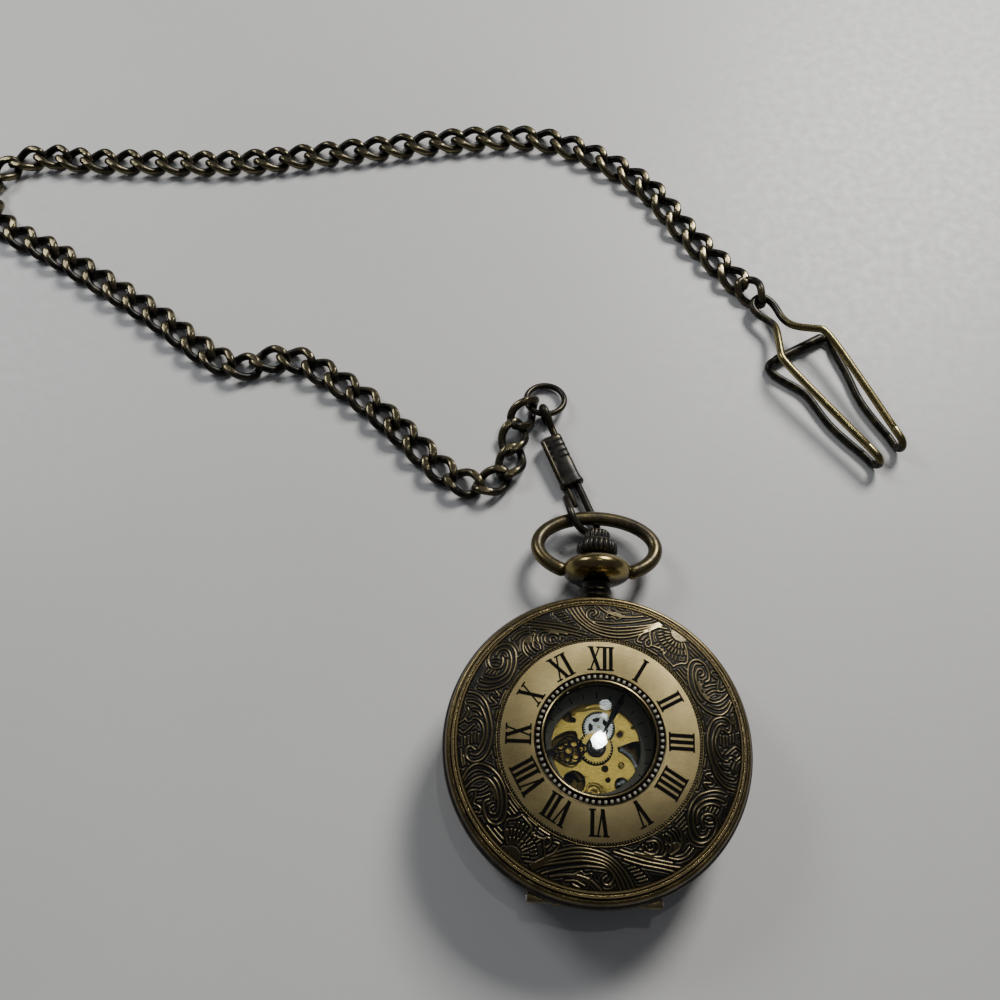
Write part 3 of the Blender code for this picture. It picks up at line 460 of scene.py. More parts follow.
# Darker copy of the gilt: painted shade for the bridges and wheels seen through the plate's openings.
GILT_IN_SHADE = antique("gilt_painted_shade", (0.012, 0.008, 0.004), (0.24, 0.15, 0.04), -0.05, (0.4, 0.3))
STEEL = brushed("polished_steel", (0.85, 0.84, 0.81), (0.58, 0.57, 0.55), (1, 18, 18), 0.3, 0.24, metal=0.75)
BLUED = antique("dark_hand", (0.006, 0.005, 0.004), (0.05, 0.032, 0.02), -0.1, (0.34, 0.22))
SHADE = antique("dark_case_side", (0.008, 0.007, 0.005), (0.12, 0.095, 0.05), -0.1, (0.5, 0.32))
# Near-black painted shade: the bead groove's floor, the crystal seat and the floors of the wheel sinks.
HOLLOW_SHADE = antique("bead_groove", (0.004, 0.0035, 0.003), (0.015, 0.012, 0.008), -0.2, (0.6, 0.5))
BEADWORK = brushed("bead_silver", (0.36, 0.34, 0.28), (0.22, 0.2, 0.155), (1, 6, 1), 0.0, 0.42, 0.001, 0.2)
NUMERAL = enamel()
DIAL = dial_paint()
MARKS = dial_marks()
RUBY = jewel()
GLASS = crystal("clear_crystal", 0.02, 0.05)
DEEP_GLASS = crystal("deep_crystal", 0.012, 0.03)


# ---------------------------------------------------------------- engraved band of the front cover

BAND = (15.42, 21.02)
BAND_ROWS = 62
BAND_STEPS = 1440
BAND_RELIEF = 0.2
ECHO = 0.5
ECHO_HALF = 0.1
REACH = 8
REPEAT = 180.0


def band_height(radius):
    out = radius - BAND[0]
    return 15.22 - 0.16 * out - 0.01 * out * out


def band_strokes():
    """Scrollwork over half of the band: (points, half width). A point is (degrees, share of the width)."""
    wide, mid, thin = 0.17, 0.15, 0.11
    strokes = []
    for k in range(4):
        strokes.append((((166 + 1.7 * k, 1.0), (167.2 + 1.7 * k, 0.75), (169.4 + 1.6 * k, 0.5 + 0.02 * k),
                         (174 + 1.1 * k, 0.24 + 0.055 * k), (180 + 0.7 * k, 0.09 + 0.085 * k),
                         (187 + 0.3 * k, 0.05 + 0.1 * k), (194, 0.13 + 0.11 * k),
                         (200 - 0.2 * k, 0.34 + 0.09 * k), (204.5 - 0.3 * k, 0.62 + 0.055 * k),
                         (208 - 0.6 * k, 0.92 + 0.015 * k)), wide))
    strokes += [
        (((176.3, 0.66), (178, 0.74), (177.5, 0.84), (175.5, 0.87), (173.8, 0.78), (173.5, 0.63),
          (175.4, 0.51), (179.5, 0.46), (185, 0.46), (190, 0.53), (195, 0.64), (199.5, 0.8),
          (202.5, 0.95)), mid),
        (((178.7, 0.99), (181, 0.86), (184, 0.75), (189, 0.71), (194.5, 0.79), (199, 0.93)), wide),
        (((183.5, 0.77), (182.6, 0.62), (185.6, 0.66), (187.4, 0.6), (190, 0.7)), thin),
        (((185, 0.92), (189, 0.84), (193, 0.9)), thin), (((187, 0.98), (190, 0.93)), thin),
        # palmette
        (((30.5, 0.9), (26.5, 0.79), (24.3, 0.64), (24.6, 0.49), (26, 0.37), (27.5, 0.25), (27.3, 0.13),
          (25.5, 0.12), (24.3, 0.22), (25.2, 0.35)), mid),
        (((22.8, 0.56), (21.2, 0.4), (20.1, 0.22), (20.5, 0.13), (23, 0.14)), mid),
        (((27.5, 0.19), (31, 0.24), (34.5, 0.25), (36.5, 0.14), (40, 0.1), (44, 0.09)), mid),
        (((44, 0.08), (44.3, 0.17), (45.5, 0.31), (47, 0.42), (46, 0.56), (43.5, 0.7), (41, 0.8)), mid),
        # first scroll
        (((59.5, 0.56), (59.2, 0.69), (56.5, 0.79), (52.5, 0.84), (49.2, 0.76), (48, 0.6), (49, 0.42),
          (52, 0.26), (56, 0.13), (61, 0.06), (67, 0.08), (72, 0.2), (75, 0.38), (76, 0.58), (75, 0.76),
          (73, 0.9), (71.3, 1.0)), wide),
        (((51.8, 0.75), (50.2, 0.64), (50.8, 0.51), (53.2, 0.37), (56.6, 0.26), (61, 0.18), (65, 0.17),
          (67.7, 0.22)), mid),
        (((56.2, 0.53), (55.9, 0.64), (54.2, 0.68), (52.7, 0.61), (53.2, 0.5), (55.5, 0.39), (59, 0.31),
          (63, 0.28), (67, 0.33), (69.6, 0.47), (70, 0.65), (69.2, 0.83), (67.8, 1.0)), mid),
        (((70.2, 0.3), (72.6, 0.45), (73.4, 0.64), (72.3, 0.82), (70.3, 0.99)), thin),
        (((58, 1.0), (56.5, 0.9), (58, 0.84), (59.6, 0.87), (61, 0.93), (63, 0.83), (65.4, 0.77),
          (66.2, 0.87), (65.6, 1.0)), thin),
        (((65.8, 0.77), (64.7, 0.66), (64.6, 0.55), (65, 0.42)), thin),
        (((62.4, 0.8), (61.6, 0.62), (61.3, 0.45)), thin),
        # second scroll
        (((82.6, 0.55), (84.3, 0.67), (83, 0.77), (80, 0.79), (77.7, 0.68), (77.2, 0.5), (78.2, 0.33),
          (81.5, 0.19), (86, 0.11), (92, 0.1), (99, 0.21), (104, 0.36), (107, 0.56), (108, 0.76),
          (107.6, 0.98)), wide),
        (((80.9, 0.66), (80.1, 0.52), (81.3, 0.39), (84.5, 0.28), (89, 0.22), (94.5, 0.25), (99.2, 0.36),
          (102.6, 0.52), (104, 0.72), (103.6, 0.9)), mid),
        (((82.6, 0.46), (86, 0.35), (90, 0.31), (94.5, 0.38), (96.8, 0.53), (96.6, 0.66)), mid),
        (((98.6, 0.44), (100.3, 0.56), (100.4, 0.7)), thin),
        (((91.5, 0.99), (90.2, 0.85), (92.4, 0.68), (94.4, 0.57)), thin),
        (((94, 0.99), (96.2, 0.86), (99.5, 0.8), (101.3, 0.86)), thin),
        (((96.2, 0.86), (94.9, 0.75), (96, 0.66)), thin),
        (((104.4, 0.25), (106.2, 0.13), (108.6, 0.33), (110.4, 0.14), (112.6, 0.3)), thin),
        # third scroll
        (((110.5, 0.74), (111, 0.55), (113, 0.35), (117, 0.16), (122, 0.1), (127, 0.15), (131, 0.28),
          (134.2, 0.48), (135.1, 0.7), (133.6, 0.87), (130.5, 0.97), (126.8, 0.98), (123.4, 0.9),
          (121.6, 0.75), (121.9, 0.6), (124, 0.5), (126.6, 0.54), (128.3, 0.66)), wide),
        (((114, 0.79), (114.7, 0.55), (117, 0.36), (120, 0.26), (123.4, 0.22), (127, 0.28), (130.6, 0.44),
          (132.4, 0.63), (132, 0.77), (129.6, 0.86), (127, 0.83)), mid),
        (((116.6, 0.74), (117.3, 0.55), (119.6, 0.4), (123, 0.33), (126.4, 0.38), (129, 0.5)), mid),
        (((123.9, 0.79), (125.3, 0.69), (125.5, 0.61)), thin),
        # diagonal sprays, leaf and curls
        (((146, 1.0), (149, 0.86), (153, 0.68), (158, 0.5), (163, 0.33), (168, 0.2), (172.5, 0.1)), wide),
        (((149, 1.0), (152, 0.84), (156, 0.68), (160, 0.55), (164, 0.42), (168, 0.3)), mid),
        (((148, 0.8), (151, 0.66), (156, 0.46), (161, 0.29), (166, 0.15), (169, 0.07)), wide),
        (((137.5, 0.83), (141, 0.87), (145, 0.81), (148.3, 0.65)), mid),
        (((138.4, 0.74), (142, 0.78), (145.8, 0.7)), thin),
        (((146.8, 0.62), (142, 0.61), (139, 0.48), (137.3, 0.31), (137.1, 0.14)), mid),
        (((147.2, 0.58), (144.3, 0.42), (142.7, 0.28), (143.8, 0.12)), mid),
        (((145, 0.42), (146, 0.24), (144.9, 0.1)), thin),
        (((139.7, 0.45), (138.8, 0.26), (139.6, 0.13)), thin),
        (((141.3, 0.42), (140.6, 0.25), (141.4, 0.1)), thin),
        (((146.5, 0.34), (147.5, 0.48), (150, 0.55), (153.4, 0.48), (157.5, 0.34), (162, 0.2)), mid),
        (((154.2, 0.08), (150.7, 0.13), (149.6, 0.26), (151.2, 0.39), (154.2, 0.4), (157.5, 0.27)), mid),
        (((151.9, 0.17), (152.8, 0.28), (155.2, 0.26), (155.6, 0.15)), thin),
        (((156.9, 0.1), (158, 0.2), (159.4, 0.16)), thin),
    ]
    return strokes


def band_hatching():
    """Short parallel bars between the scrolls: (start degrees, end degrees, share of the width)."""
    bars = [(41.8, 51, 0.93), (42.6, 48.4, 0.83), (45.2, 47.6, 0.73), (48, 49.8, 0.31), (46.8, 51, 0.2),
            (46.8, 54, 0.12), (47.5, 57, 0.03), (76.5, 83.5, 0.92), (76.8, 81, 0.86), (85.5, 90, 0.45),
            (85.8, 91, 0.54), (85.8, 90.6, 0.63), (85.4, 89, 0.72), (85, 88.5, 0.81), (118.1, 120.3, 0.75),
            (118.2, 120.6, 0.66), (118.7, 121, 0.57), (119.6, 121.8, 0.48), (133.4, 136, 0.33),
            (132.4, 136, 0.24), (131.2, 136.3, 0.15), (129.5, 136.5, 0.06), (70, 76, 0.03), (78, 83, 0.03),
            (98, 103, 0.04), (106, 115, 0.03), (160, 163.6, 0.9), (160.6, 164.2, 0.81), (161.4, 165, 0.72),
            (162.4, 165.8, 0.63), (163.6, 166.8, 0.54), (26.5, 33.5, 0.04), (34.5, 41, 0.02)]
    return [(((a, t), ((a + b) / 2, t), (b, t)), 0.12) for a, b, t in bars]


def band_rays():
    """The shell's fan of short rays, in three rows."""
    rays = []
    centre, share = 36.0, 0.97
    middle = BAND[0] + share * (BAND[1] - BAND[0])
    for near, far, count, spread, width in ((1.55, 2.35, 9, 62, 0.15), (2.65, 3.4, 11, 52, 0.14),
                                            (3.75, 4.4, 7, 26, 0.13)):
        for i in range(count):
            lean = math.radians(-spread + 2 * spread * i / (count - 1))
            ends = []
            for reach in (near, (near + far) / 2, far):
                radius = middle - reach * math.cos(lean)
                across = math.degrees(reach * math.sin(lean) / radius)
                ends.append((centre + across, (radius - BAND[0]) / (BAND[1] - BAND[0])))
            rays.append((tuple(ends), width))
    return rays


def band_fills():
    """Leaves and the shell's boss, as filled outlines."""
    return [((32, 1.02), (32.1, 0.9), (33.5, 0.79), (36, 0.75), (38.6, 0.79), (39.9, 0.9), (39.8, 1.02)),
            ((57.2, 0.38), (60, 0.45), (61.6, 0.36), (63.2, 0.31), (65, 0.42), (68, 0.43), (67, 0.33),
             (62, 0.27)),
            ((140.4, 0.6), (146, 0.63), (144.4, 0.5), (143.2, 0.4), (141.2, 0.45)),
            ((180.5, 0.9), (184, 0.78), (189, 0.73), (194, 0.8), (190, 0.79), (187, 0.84), (184, 0.83))]


def stamp(field, away_field, points, width, radii, step):
    """Press one stroke into the field, which wraps round, and note how far each place is from a stroke."""
    rows, columns = field.shape
    path = smooth_path(points, 6)
    for a, b in zip(path, path[1:]):
        ends = [(math.radians(p[0]), BAND[0] + p[1] * (BAND[1] - BAND[0])) for p in (a, b)]
        length = math.hypot((ends[1][0] - ends[0][0]) * ends[0][1], ends[1][1] - ends[0][1])
        marks = max(1, int(length / 0.06))
        for i in range(marks):
            t = i / marks
            turn = ends[0][0] + (ends[1][0] - ends[0][0]) * t
            radius = ends[0][1] + (ends[1][1] - ends[0][1]) * t
            row = int((radius - radii[0]) / (radii[1] - radii[0]))
            column = int(turn / step)
            rs = np.arange(max(0, row - REACH), min(rows, row + REACH + 1))
            cs = np.arange(column - REACH - 2, column + REACH + 3)
            if len(rs) == 0:
                continue
            away = np.hypot((radii[rs] - radius)[:, None], ((cs * step - turn) * radius)[None, :])
            height = np.clip(1.45 - away / width, 0, 1)
            height = height * height * (3 - 2 * height)
            block = np.ix_(rs, cs % columns)
            field[block] = np.maximum(field[block], height)
            away_field[block] = np.minimum(away_field[block], away)


def band_field(radii):
    columns = BAND_STEPS // 2
    step = math.radians(REPEAT) / columns
    field = np.zeros((len(radii), columns))
    away = np.full(field.shape, 9.0)
    for points, width in band_strokes() + band_hatching() + band_rays():
        stamp(field, away, points, width, radii, step)
    for order, lift in ((1, 0.62), (2, 0.4)):
        echo = lift * np.exp(-((away - ECHO - (order - 1) * 0.36) / ECHO_HALF) ** 2)
        field = np.maximum(field, echo)
    share = (radii - BAND[0]) / (BAND[1] - BAND[0])
    turns = np.degrees(np.arange(columns) * step)
    for outline in band_fills():
        for shift in (0, REPEAT):
            inside = np.zeros(field.shape, bool)
            x = turns[None, :] + shift
            y = share[:, None]
            for (x0, y0), (x1, y1) in zip(outline, outline[1:] + outline[:1]):
                if y0 == y1:
                    continue
                crosses = ((y0 > y) != (y1 > y)) & (x < (x1 - x0) * (y - y0) / (y1 - y0) + x0)
                inside ^= crosses
            field[inside] = np.maximum(field[inside], 0.56)
    return np.hstack([field, field])


def front_band():
    radii = np.linspace(*BAND, BAND_ROWS)
    field = band_field(radii)
    fade = np.clip(np.minimum(radii - BAND[0], BAND[1] - radii) / 0.12, 0, 1)[:, None]
    field = field * (0.4 + 0.6 * fade)
    grit = random.Random(7)
    ripple = np.array([[grit.random() for _ in range(BAND_STEPS)] for _ in range(BAND_ROWS)])
    turns = -TURN * np.arange(BAND_STEPS) / BAND_STEPS + math.pi / 2
    height = band_height(radii)[:, None] + field * BAND_RELIEF - 0.06 + ripple * 0.012 * (1 - field)
    top = np.stack([radii[:, None] * np.cos(turns), radii[:, None] * np.sin(turns), height], -1)
    low = [np.stack([r * np.cos(turns), r * np.sin(turns), np.full(BAND_STEPS, z)], -1)
           for r, z in ((BAND[1], band_height(BAND[1]) - 0.5), (BAND[0], band_height(BAND[0]) - 0.5))]
    verts = np.concatenate([top.reshape(-1, 3), *low])
    relief = np.concatenate([field.ravel(), np.zeros(2 * BAND_STEPS)])
    show("front_cover_scrollwork", (verts, wrapped_faces(BAND_ROWS + 2, BAND_STEPS)), ENGRAVED, "front_lid",
         relief=relief, sharp=math.pi)


# ---------------------------------------------------------------- front cover

HINGE_Y = -22.0
FRONT_HINGE_Z = 8.9
BACK_HINGE_Z = 4.3
RING_IN = 9.78
RING_OUT = 14.72
NUMERAL_FOOT = 10.1
NUMERAL_TALL = 3.85
BEADS = 64
ROPE = 220


def ring_height(radius):
    """Top of the numeral ring: a shallow cone, slightly crowned."""
    t = (radius - RING_IN) / (RING_OUT - RING_IN)
    return 15.84 - 0.42 * t + 0.05 * 4 * t * (1 - t)


def front_shell():
    outer = [(15.3, 14.6), (15.3, 14.95), (20.98, 13.75), (21.03, 14.0), (21.12, 14.13), (21.25, 14.12),
             (21.37, 13.98), (21.43, 13.75), (21.52, 13.6), (21.64, 13.66), (21.8, 13.64), (21.95, 13.48),
             (22.02, 13.22), (22.06, 12.98), (22.16, 12.85), (22.32, 12.93), (22.52, 12.92), (22.72, 12.78),
             (22.9, 12.5), (23.0, 12.15), (23.0, 11.8), (22.98, 11.5), (23.08, 11.34), (23.28, 11.2),
             (23.44, 10.92), (23.5, 10.5), (23.42, 10.1), (23.15, 9.87), (21.95, 9.88), (21.9, 10.0),
             (21.9, 11.4), (21.2, 12.4), (20.2, 13.2)]
    solid = revolve(outer)
    leaves = []
    for side in (-1, 1):
        x0, x1 = sorted((side * 6.25, side * 9.75))
        leaves.append(hoop(0, 0.8, x0, x1, 0.12, 28, "X", (0, HINGE_Y, FRONT_HINGE_Z)))
        leaves.append(plate(oblong(x0, x1, -22.72, -21.6), 9.1, 10.3, 0.1))
    show("front_cover_rim", solid, RIM, "front_lid", ("front_cover",))
    show("front_cover_knuckles", joined(leaves), BRASS, "front_lid")


def front_rings():
    steps = 12
    top = [(RING_IN + (RING_OUT - RING_IN) * i / steps) for i in range(steps + 1)]
    profile = [(r, ring_height(r)) for r in top] + [(RING_OUT, 14.9), (RING_IN, 15.2)]
    show("front_numeral_ring", revolve(profile, 192), SATIN, "front_lid")
    lips = [(8.3, 15.15), (8.28, 15.84), (8.36, 15.98), (8.5, 16.02), (8.64, 15.96), (8.7, 15.8),
            (8.72, 15.4), (9.6, 15.4), (9.61, 15.78), (9.64, 15.88), (9.69, 15.91), (9.74, 15.86),
            (9.76, 15.7), (9.77, 15.1)]
    show("front_window_lips", revolve(lips, 192), BRASS, "front_lid")
    # The bead groove's floor is painted near-black as shade.
    show("front_bead_groove", hoop(8.71, 9.61, 15.42, 15.55), HOLLOW_SHADE, "front_lid")
    beads = []
    for i in range(BEADS):
        beads.append(bead((*spot(9.19, TURN * i / BEADS), 15.68), TURN * i / BEADS))
    show("front_bead_row", joined(beads), BEADWORK, "front_lid")
    line = [(15.12, 14.9), (15.14, 15.3), (15.2, 15.4), (15.28, 15.41), (15.37, 15.33), (15.42, 15.15),
            (15.42, 14.6), (15.12, 14.6)]
    show("front_ring_border", revolve(line, 224), BRASS, "front_lid")
    show("front_rope_ring", rope_ring(), ENGRAVED, "front_lid", relief=ROPE_RELIEF, sharp=math.pi)


def bead(place, turn):
    """One small pillow-shaped bead."""
    bm = bmesh.new()
    bmesh.ops.create_cube(bm, size=1)
    bmesh.ops.bevel(bm, geom=list(bm.edges), offset=0.22, segments=2, affect="EDGES", profile=0.6)
    sized = Matrix.Diagonal((0.5, 0.44, 0.36, 1))
    bm.transform(Matrix.Translation(place) @ Matrix.Rotation(turn, 4, "Z") @ sized)
    return from_bmesh(bm)


ROPE_RELIEF = []


def rope_ring():
    """Narrow ring of fine ridges between the numeral ring and its border."""
    per_ridge = 4
    columns = ROPE * per_ridge
    rows = ((14.72, 15.2), (14.74, 15.38), (14.85, 15.4), (15.02, 15.37), (15.12, 15.33), (15.14, 15.1),
            (15.14, 14.8), (14.72, 14.8))
    verts = []
    for k, (radius, height) in enumerate(rows):
        for i in range(columns):
            ridge = 0.5 + 0.5 * math.cos(TURN * i / per_ridge)
            lift = 0.2 * (ridge - 1) if k in (1, 2, 3, 4) else 0.0
            x, y = spot(radius, TURN * (i + k * 0.7) / columns)
            verts.append((x, y, height + lift))
            ROPE_RELIEF.append(ridge if k in (1, 2, 3, 4) else 0.0)
    return np.array(verts), wrapped_faces(len(rows), columns)


def glyph_bars(text):
    """Strokes of a Roman numeral as four-cornered outlines, with its width. Letters stand on y = 0."""
    bars, x = [], 0.0
    thick, fine, serif, tall = 0.58, 0.27, 0.26, NUMERAL_TALL
    for letter in text:
        if letter == "I":
            bars.append(oblong(x + 0.2, x + 0.2 + thick, 0, tall))
            bars += [oblong(x, x + 0.98, y, y + serif) for y in (0, tall - serif)]
            x += 0.94
            continue
        wide = 2.1 if letter == "X" else 1.95
        left, right = x + 0.38, x + wide - 0.38
        foot = (left + right) / 2
        heavy = (right, left) if letter == "X" else (foot, left)
        light = (left, right) if letter == "X" else (foot, right)
        for (low, high), half in ((heavy, thick / 2), (light, fine / 2)):
            bars.append(((low - half, 0), (low + half, 0), (high + half, tall), (high - half, tall)))
        for y in ((0, tall - serif) if letter == "X" else (tall - serif,)):
            for middle in (left, right):
                bars.append(oblong(middle - 0.48, middle + 0.48, y, y + serif))
        x += wide - 0.05
    return bars, x


def front_numerals():
    """Inlaid Roman numerals, feet towards the centre."""
    names = ("XII", "I", "II", "III", "IIII", "V", "VI", "VII", "VIII", "IX", "X", "XI")
    solids = []
    for hour, text in enumerate(names):
        bars, width = glyph_bars(text)
        turn = math.pi / 2 - TURN * hour / 12
        along = Vector((math.sin(turn), -math.cos(turn)))
        out = Vector((math.cos(turn), math.sin(turn)))
        for corners in bars:
            rows = 10
            verts = []
            for i in range(rows + 1):
                t = i / rows
                for low, high in ((corners[0], corners[3]), (corners[1], corners[2])):
                    x = low[0] + (high[0] - low[0]) * t - width / 2
                    y = low[1] + (high[1] - low[1]) * t
                    place = along * x + out * (NUMERAL_FOOT + y)
                    verts.append((*place, ring_height(place.length)))
            solids.append(ribbon(verts, rows, 0.035, 0.1))
    show("front_numerals", joined(solids), NUMERAL, "front_lid")


def ribbon(verts, rows, above, below):
    """Strip of paired points given thickness."""
    count = len(verts)
    points = [(x, y, z + above) for x, y, z in verts] + [(x, y, z - below) for x, y, z in verts]
    faces = []
    for i in range(rows):
        a, b, c, d = 2 * i, 2 * i + 1, 2 * i + 3, 2 * i + 2
        faces.append((a, b, c, d))
        faces.append((a + count, d + count, c + count, b + count))
        faces.append((a, d, d + count, a + count))
        faces.append((b, b + count, c + count, c))
    faces.append((0, count, count + 1, 1))
    faces.append((2 * rows, 2 * rows + 1, 2 * rows + 1 + count, 2 * rows + count))
    return np.array(points), faces


def front_crystal():
    top = [(8.15 * i / 20, 16.0 - 0.16 * (i / 20) ** 2 - 0.2 * (i / 20) ** 4) for i in range(21)]
    under = [(r, z - 0.35) for r, z in reversed(top)]
    show("front_window_crystal", revolve(top + under, 96), GLASS, "front_lid", ("front_cover_crystal",))
    # The crystal seat is painted near-black as the shade under the window.
    seat = rounded([(8.0, 14.2), (9.3, 14.2), (9.3, 14.6), (8.0, 14.7)], 0.08)
    show("front_crystal_seat", revolve(seat, 96), HOLLOW_SHADE, "front_lid", ("front_crystal_ring",))


# ---------------------------------------------------------------- case

NOTCH = math.radians(25.5)


def case_body():
    lip = rounded([(20.4, 3.0), (21.45, 3.0), (21.45, 3.95), (20.95, 4.1), (20.95, 9.4), (21.45, 9.55),
                   (21.45, 11.0), (20.4, 11.0)], 0.12)
    band = [(20.9, 3.92), (22.6, 3.92), (22.88, 4.05), (23.0, 4.3), (22.92, 4.6), (22.7, 4.78), (22.52, 4.9),
            (22.48, 5.5), (22.46, 6.75), (22.48, 8.0), (22.52, 8.6), (22.7, 8.72), (22.92, 8.9), (23.0, 9.2),
            (22.88, 9.46), (22.6, 9.58), (20.9, 9.58)]
    start = -math.pi / 2 + NOTCH
    case = joined([revolve(lip), revolve(band, AROUND, span=(start, start + TURN - 2 * NOTCH))])
    tubes = []
    for z, half in ((FRONT_HINGE_Z, 6.05), (BACK_HINGE_Z, 3.25)):
        tubes.append(hoop(0, 0.8, -half, half, 0.1, 28, "X", (0, HINGE_Y, z)))
        tubes.append(plate(oblong(-half, half, -21.9, -20.8), z - 0.35, z + 0.35))
    show("case_band", case, BRASS, "case", ("case_middle",))
    show("case_knuckles", joined(tubes), SHADE, "case")
    pins = [hoop(0, 0.33, -half, half, 0.1, 20, "X", (0, HINGE_Y, z))
            for z, half in ((FRONT_HINGE_Z, 9.95), (BACK_HINGE_Z, 6.1))]
    show("hinge_pins", joined(pins), STEEL, "case", ("front_hinge_pin", "back_hinge_pin"))


def back_body():
    profile = [(0, 0), (9, 0.0), (12, 0.02), (13.5, 0.22), (16, 0.62), (18.5, 1.15), (20.4, 1.72),
               (20.6, 1.72), (20.75, 1.86), (21.6, 2.1), (22.3, 2.4), (22.8, 2.72), (23.0, 3.05),
               (22.98, 3.35), (22.8, 3.56), (21.95, 3.58), (21.9, 3.0), (17.8, 1.95), (12.3, 1.0), (0, 0.9)]
    leaves = []
    for side in (-1, 1):
        x0, x1 = sorted((side * 3.4, side * 6.0))
        leaves.append(hoop(0, 0.78, x0, x1, 0.1, 28, "X", (0, HINGE_Y, BACK_HINGE_Z)))
        leaves.append(plate(oblong(x0, x1, -22.6, -21.5), 2.85, 3.8))
    show("back_cover_shell", joined([revolve(profile), *leaves]), BACK, "back_lid", ("back_cover",))


def case_inside():
    bezel = rounded([(18.8, 10.5), (20.1, 10.5), (20.1, 11.2), (18.8, 11.55)], 0.1)
    show("crystal_bezel_ring", revolve(bezel), BRASS, "case", ("crystal_bezel",))
    top = [(18.5 * i / 14, 11.9 - 0.4 * (i / 14) ** 2 - 0.3 * (i / 14) ** 4) for i in range(15)]
    under = [(r, z - 0.5) for r, z in reversed(top)]
    show("main_crystal_glass", revolve(top + under, 128), DEEP_GLASS, "case", ("main_crystal",))
    show("inner_back_frame", hoop(17.2, 20.1, 3.0, 3.8, 0.12), SATIN, "case", ("inner_back_ring",))
    show("inner_back_glass", hoop(0, 16.9, 2.9, 3.4, 0.12, 128), GLASS, "case", ("inner_back_crystal",))
    show("movement_holder", hoop(18.5, 20.2, 4.3, 7.9, 0.15), SHADE, "case", ("movement_ring",))


# ---------------------------------------------------------------- pendant, bow and crown

STEM_Z = 5.7
STEM = (0, 0, STEM_Z)
BOW_PIVOT_Y = 29.8
BOW_TILT = math.radians(-15)


def pendant_body():
    neck = [(1.5, 22.9), (2.5, 22.9), (2.62, 23.3), (2.5, 23.7), (2.2, 24.0), (2.12, 24.5), (2.3, 24.75),
            (2.42, 25.0), (2.3, 25.25), (2.12, 25.5), (2.3, 25.75), (2.5, 26.0), (2.42, 26.3), (2.2, 26.6),
            (2.25, 26.95), (2.5, 27.3)]
    bulb = []
    for i in range(1, 20):
        turn = math.pi * i / 20 - math.pi / 2
        bulb.append((1.6 + 4.15 * max(0.0, math.cos(turn)) ** 0.85, BOW_PIVOT_Y + 2.15 * math.sin(turn)))
    neck += [(1.45, 27.3), (1.45, 22.9)]
    show("pendant_neck", revolve(neck, 64, "Y", STEM), BRONZE, "case", ("pendant",))
    show("pendant_bulb", revolve([(1.45, 27.3), *bulb, (1.45, 32.2)], 96, "Y", STEM), PENDANT, "case")


def bow_body():
    wide, tall, end_x = 10.0, 6.14, 5.95
    centre = tall * math.sqrt(1 - (end_x / wide) ** 2)
    end_turn = math.acos(-centre / tall)
    points = []
    for i in range(73):
        turn = end_turn - 2 * end_turn * i / 72
        points.append((wide * math.sin(-turn), centre + tall * math.cos(turn), 0))
    loop = tube(points, 1.2, 22)
    studs = []
    for side in (-1, 1):
        low, high = sorted((side * 4.9, side * 6.2))
        studs.append(hoop(0, 0.55, low, high, 0.1, 24, "X"))
    place = Matrix.Translation((0, BOW_PIVOT_Y, STEM_Z)) @ Matrix.Rotation(BOW_TILT, 4, "X")
    show("bow_loop_wire", moved(joined([loop, *studs]), place), BOW, "bow_loop", ("bow",))


def fluted(rows, flutes, depth, axis_centre):
    """Turned solid along Y with flutes where a row's third value is above 0."""
    columns = flutes * 8
    verts = []
    for radius, along, cut in rows:
        for i in range(columns):
            wave = abs(math.sin(math.pi * i * flutes / columns)) ** 0.7
            r = radius - depth * cut * (1 - wave)
            turn = TURN * i / columns
            verts.append((axis_centre[0] + r * math.sin(turn), along, axis_centre[2] + r * math.cos(turn)))
    return np.array(verts), wrapped_faces(len(rows), columns)


def crown_body():
    skirt = [(0.62, 32.4, 0), (2.5, 32.4, 0), (2.9, 32.5, 0.2), (3.3, 32.75, 1), (3.45, 33.0, 1),
             (3.45, 33.6, 1), (3.42, 34.1, 1), (3.25, 34.45, 1), (2.95, 34.8, 0.3), (2.7, 34.98, 0),
             (2.38, 34.98, 0), (2.36, 34.1, 0), (1.15, 34.05, 0), (1.15, 33.0, 0), (0.62, 33.0, 0)]
    show("crown_fluted", fluted(skirt, 22, 0.28, STEM), BRONZE, "crown_set", ("crown",))
    cap = [(0.05, 33.95, 0), (0.95, 33.95, 0), (0.95, 34.97, 0), (2.1, 35.0, 0), (2.16, 35.15, 0.6),
           (2.18, 35.4, 1), (2.18, 36.2, 1), (2.08, 36.55, 0.8), (1.85, 36.78, 0.3), (1.4, 36.88, 0),
           (0.6, 36.92, 0), (0.05, 36.92, 0)]
    show("button_fluted", fluted(cap, 18, 0.2, STEM), BRONZE, "button", ("crown_button",))
    sleeve = hoop(0.75, 1.25, 24.6, 30.5, 0.08, 32, "Y", STEM)
    show("stem_sleeve_tube", sleeve, STEEL, "stem_slider", ("stem_sleeve",))
    stem = [(0, 9.0), (0.35, 9.0), (0.35, 10.4), (0.5, 10.5), (0.5, 32.85), (0, 32.85)]
    pinion = fluted([(0.58, 11.0, 0), (0.8, 11.0, 1), (0.8, 12.6, 1), (0.58, 12.6, 0)], 10, 0.14, STEM)
    show("winding_stem_rod", joined([revolve(stem, 24, "Y", STEM), pinion]), STEEL, "crown_set",
         ("winding_stem", "winding_pinion"))


# ---------------------------------------------------------------- movement

MINUTE_WHEEL_AT = (0.4, 3.1)
JEWEL_AT = (3.75, 2.3)
SETTING_AT = (-0.2, -6.6)
SCREW_AT = (3.95, -2.45)
SEGMENT_CENTRE = (2.9, -3.3)
HOUR_HAND_ANGLE = 260.5
MINUTE_HAND_ANGLE = 27


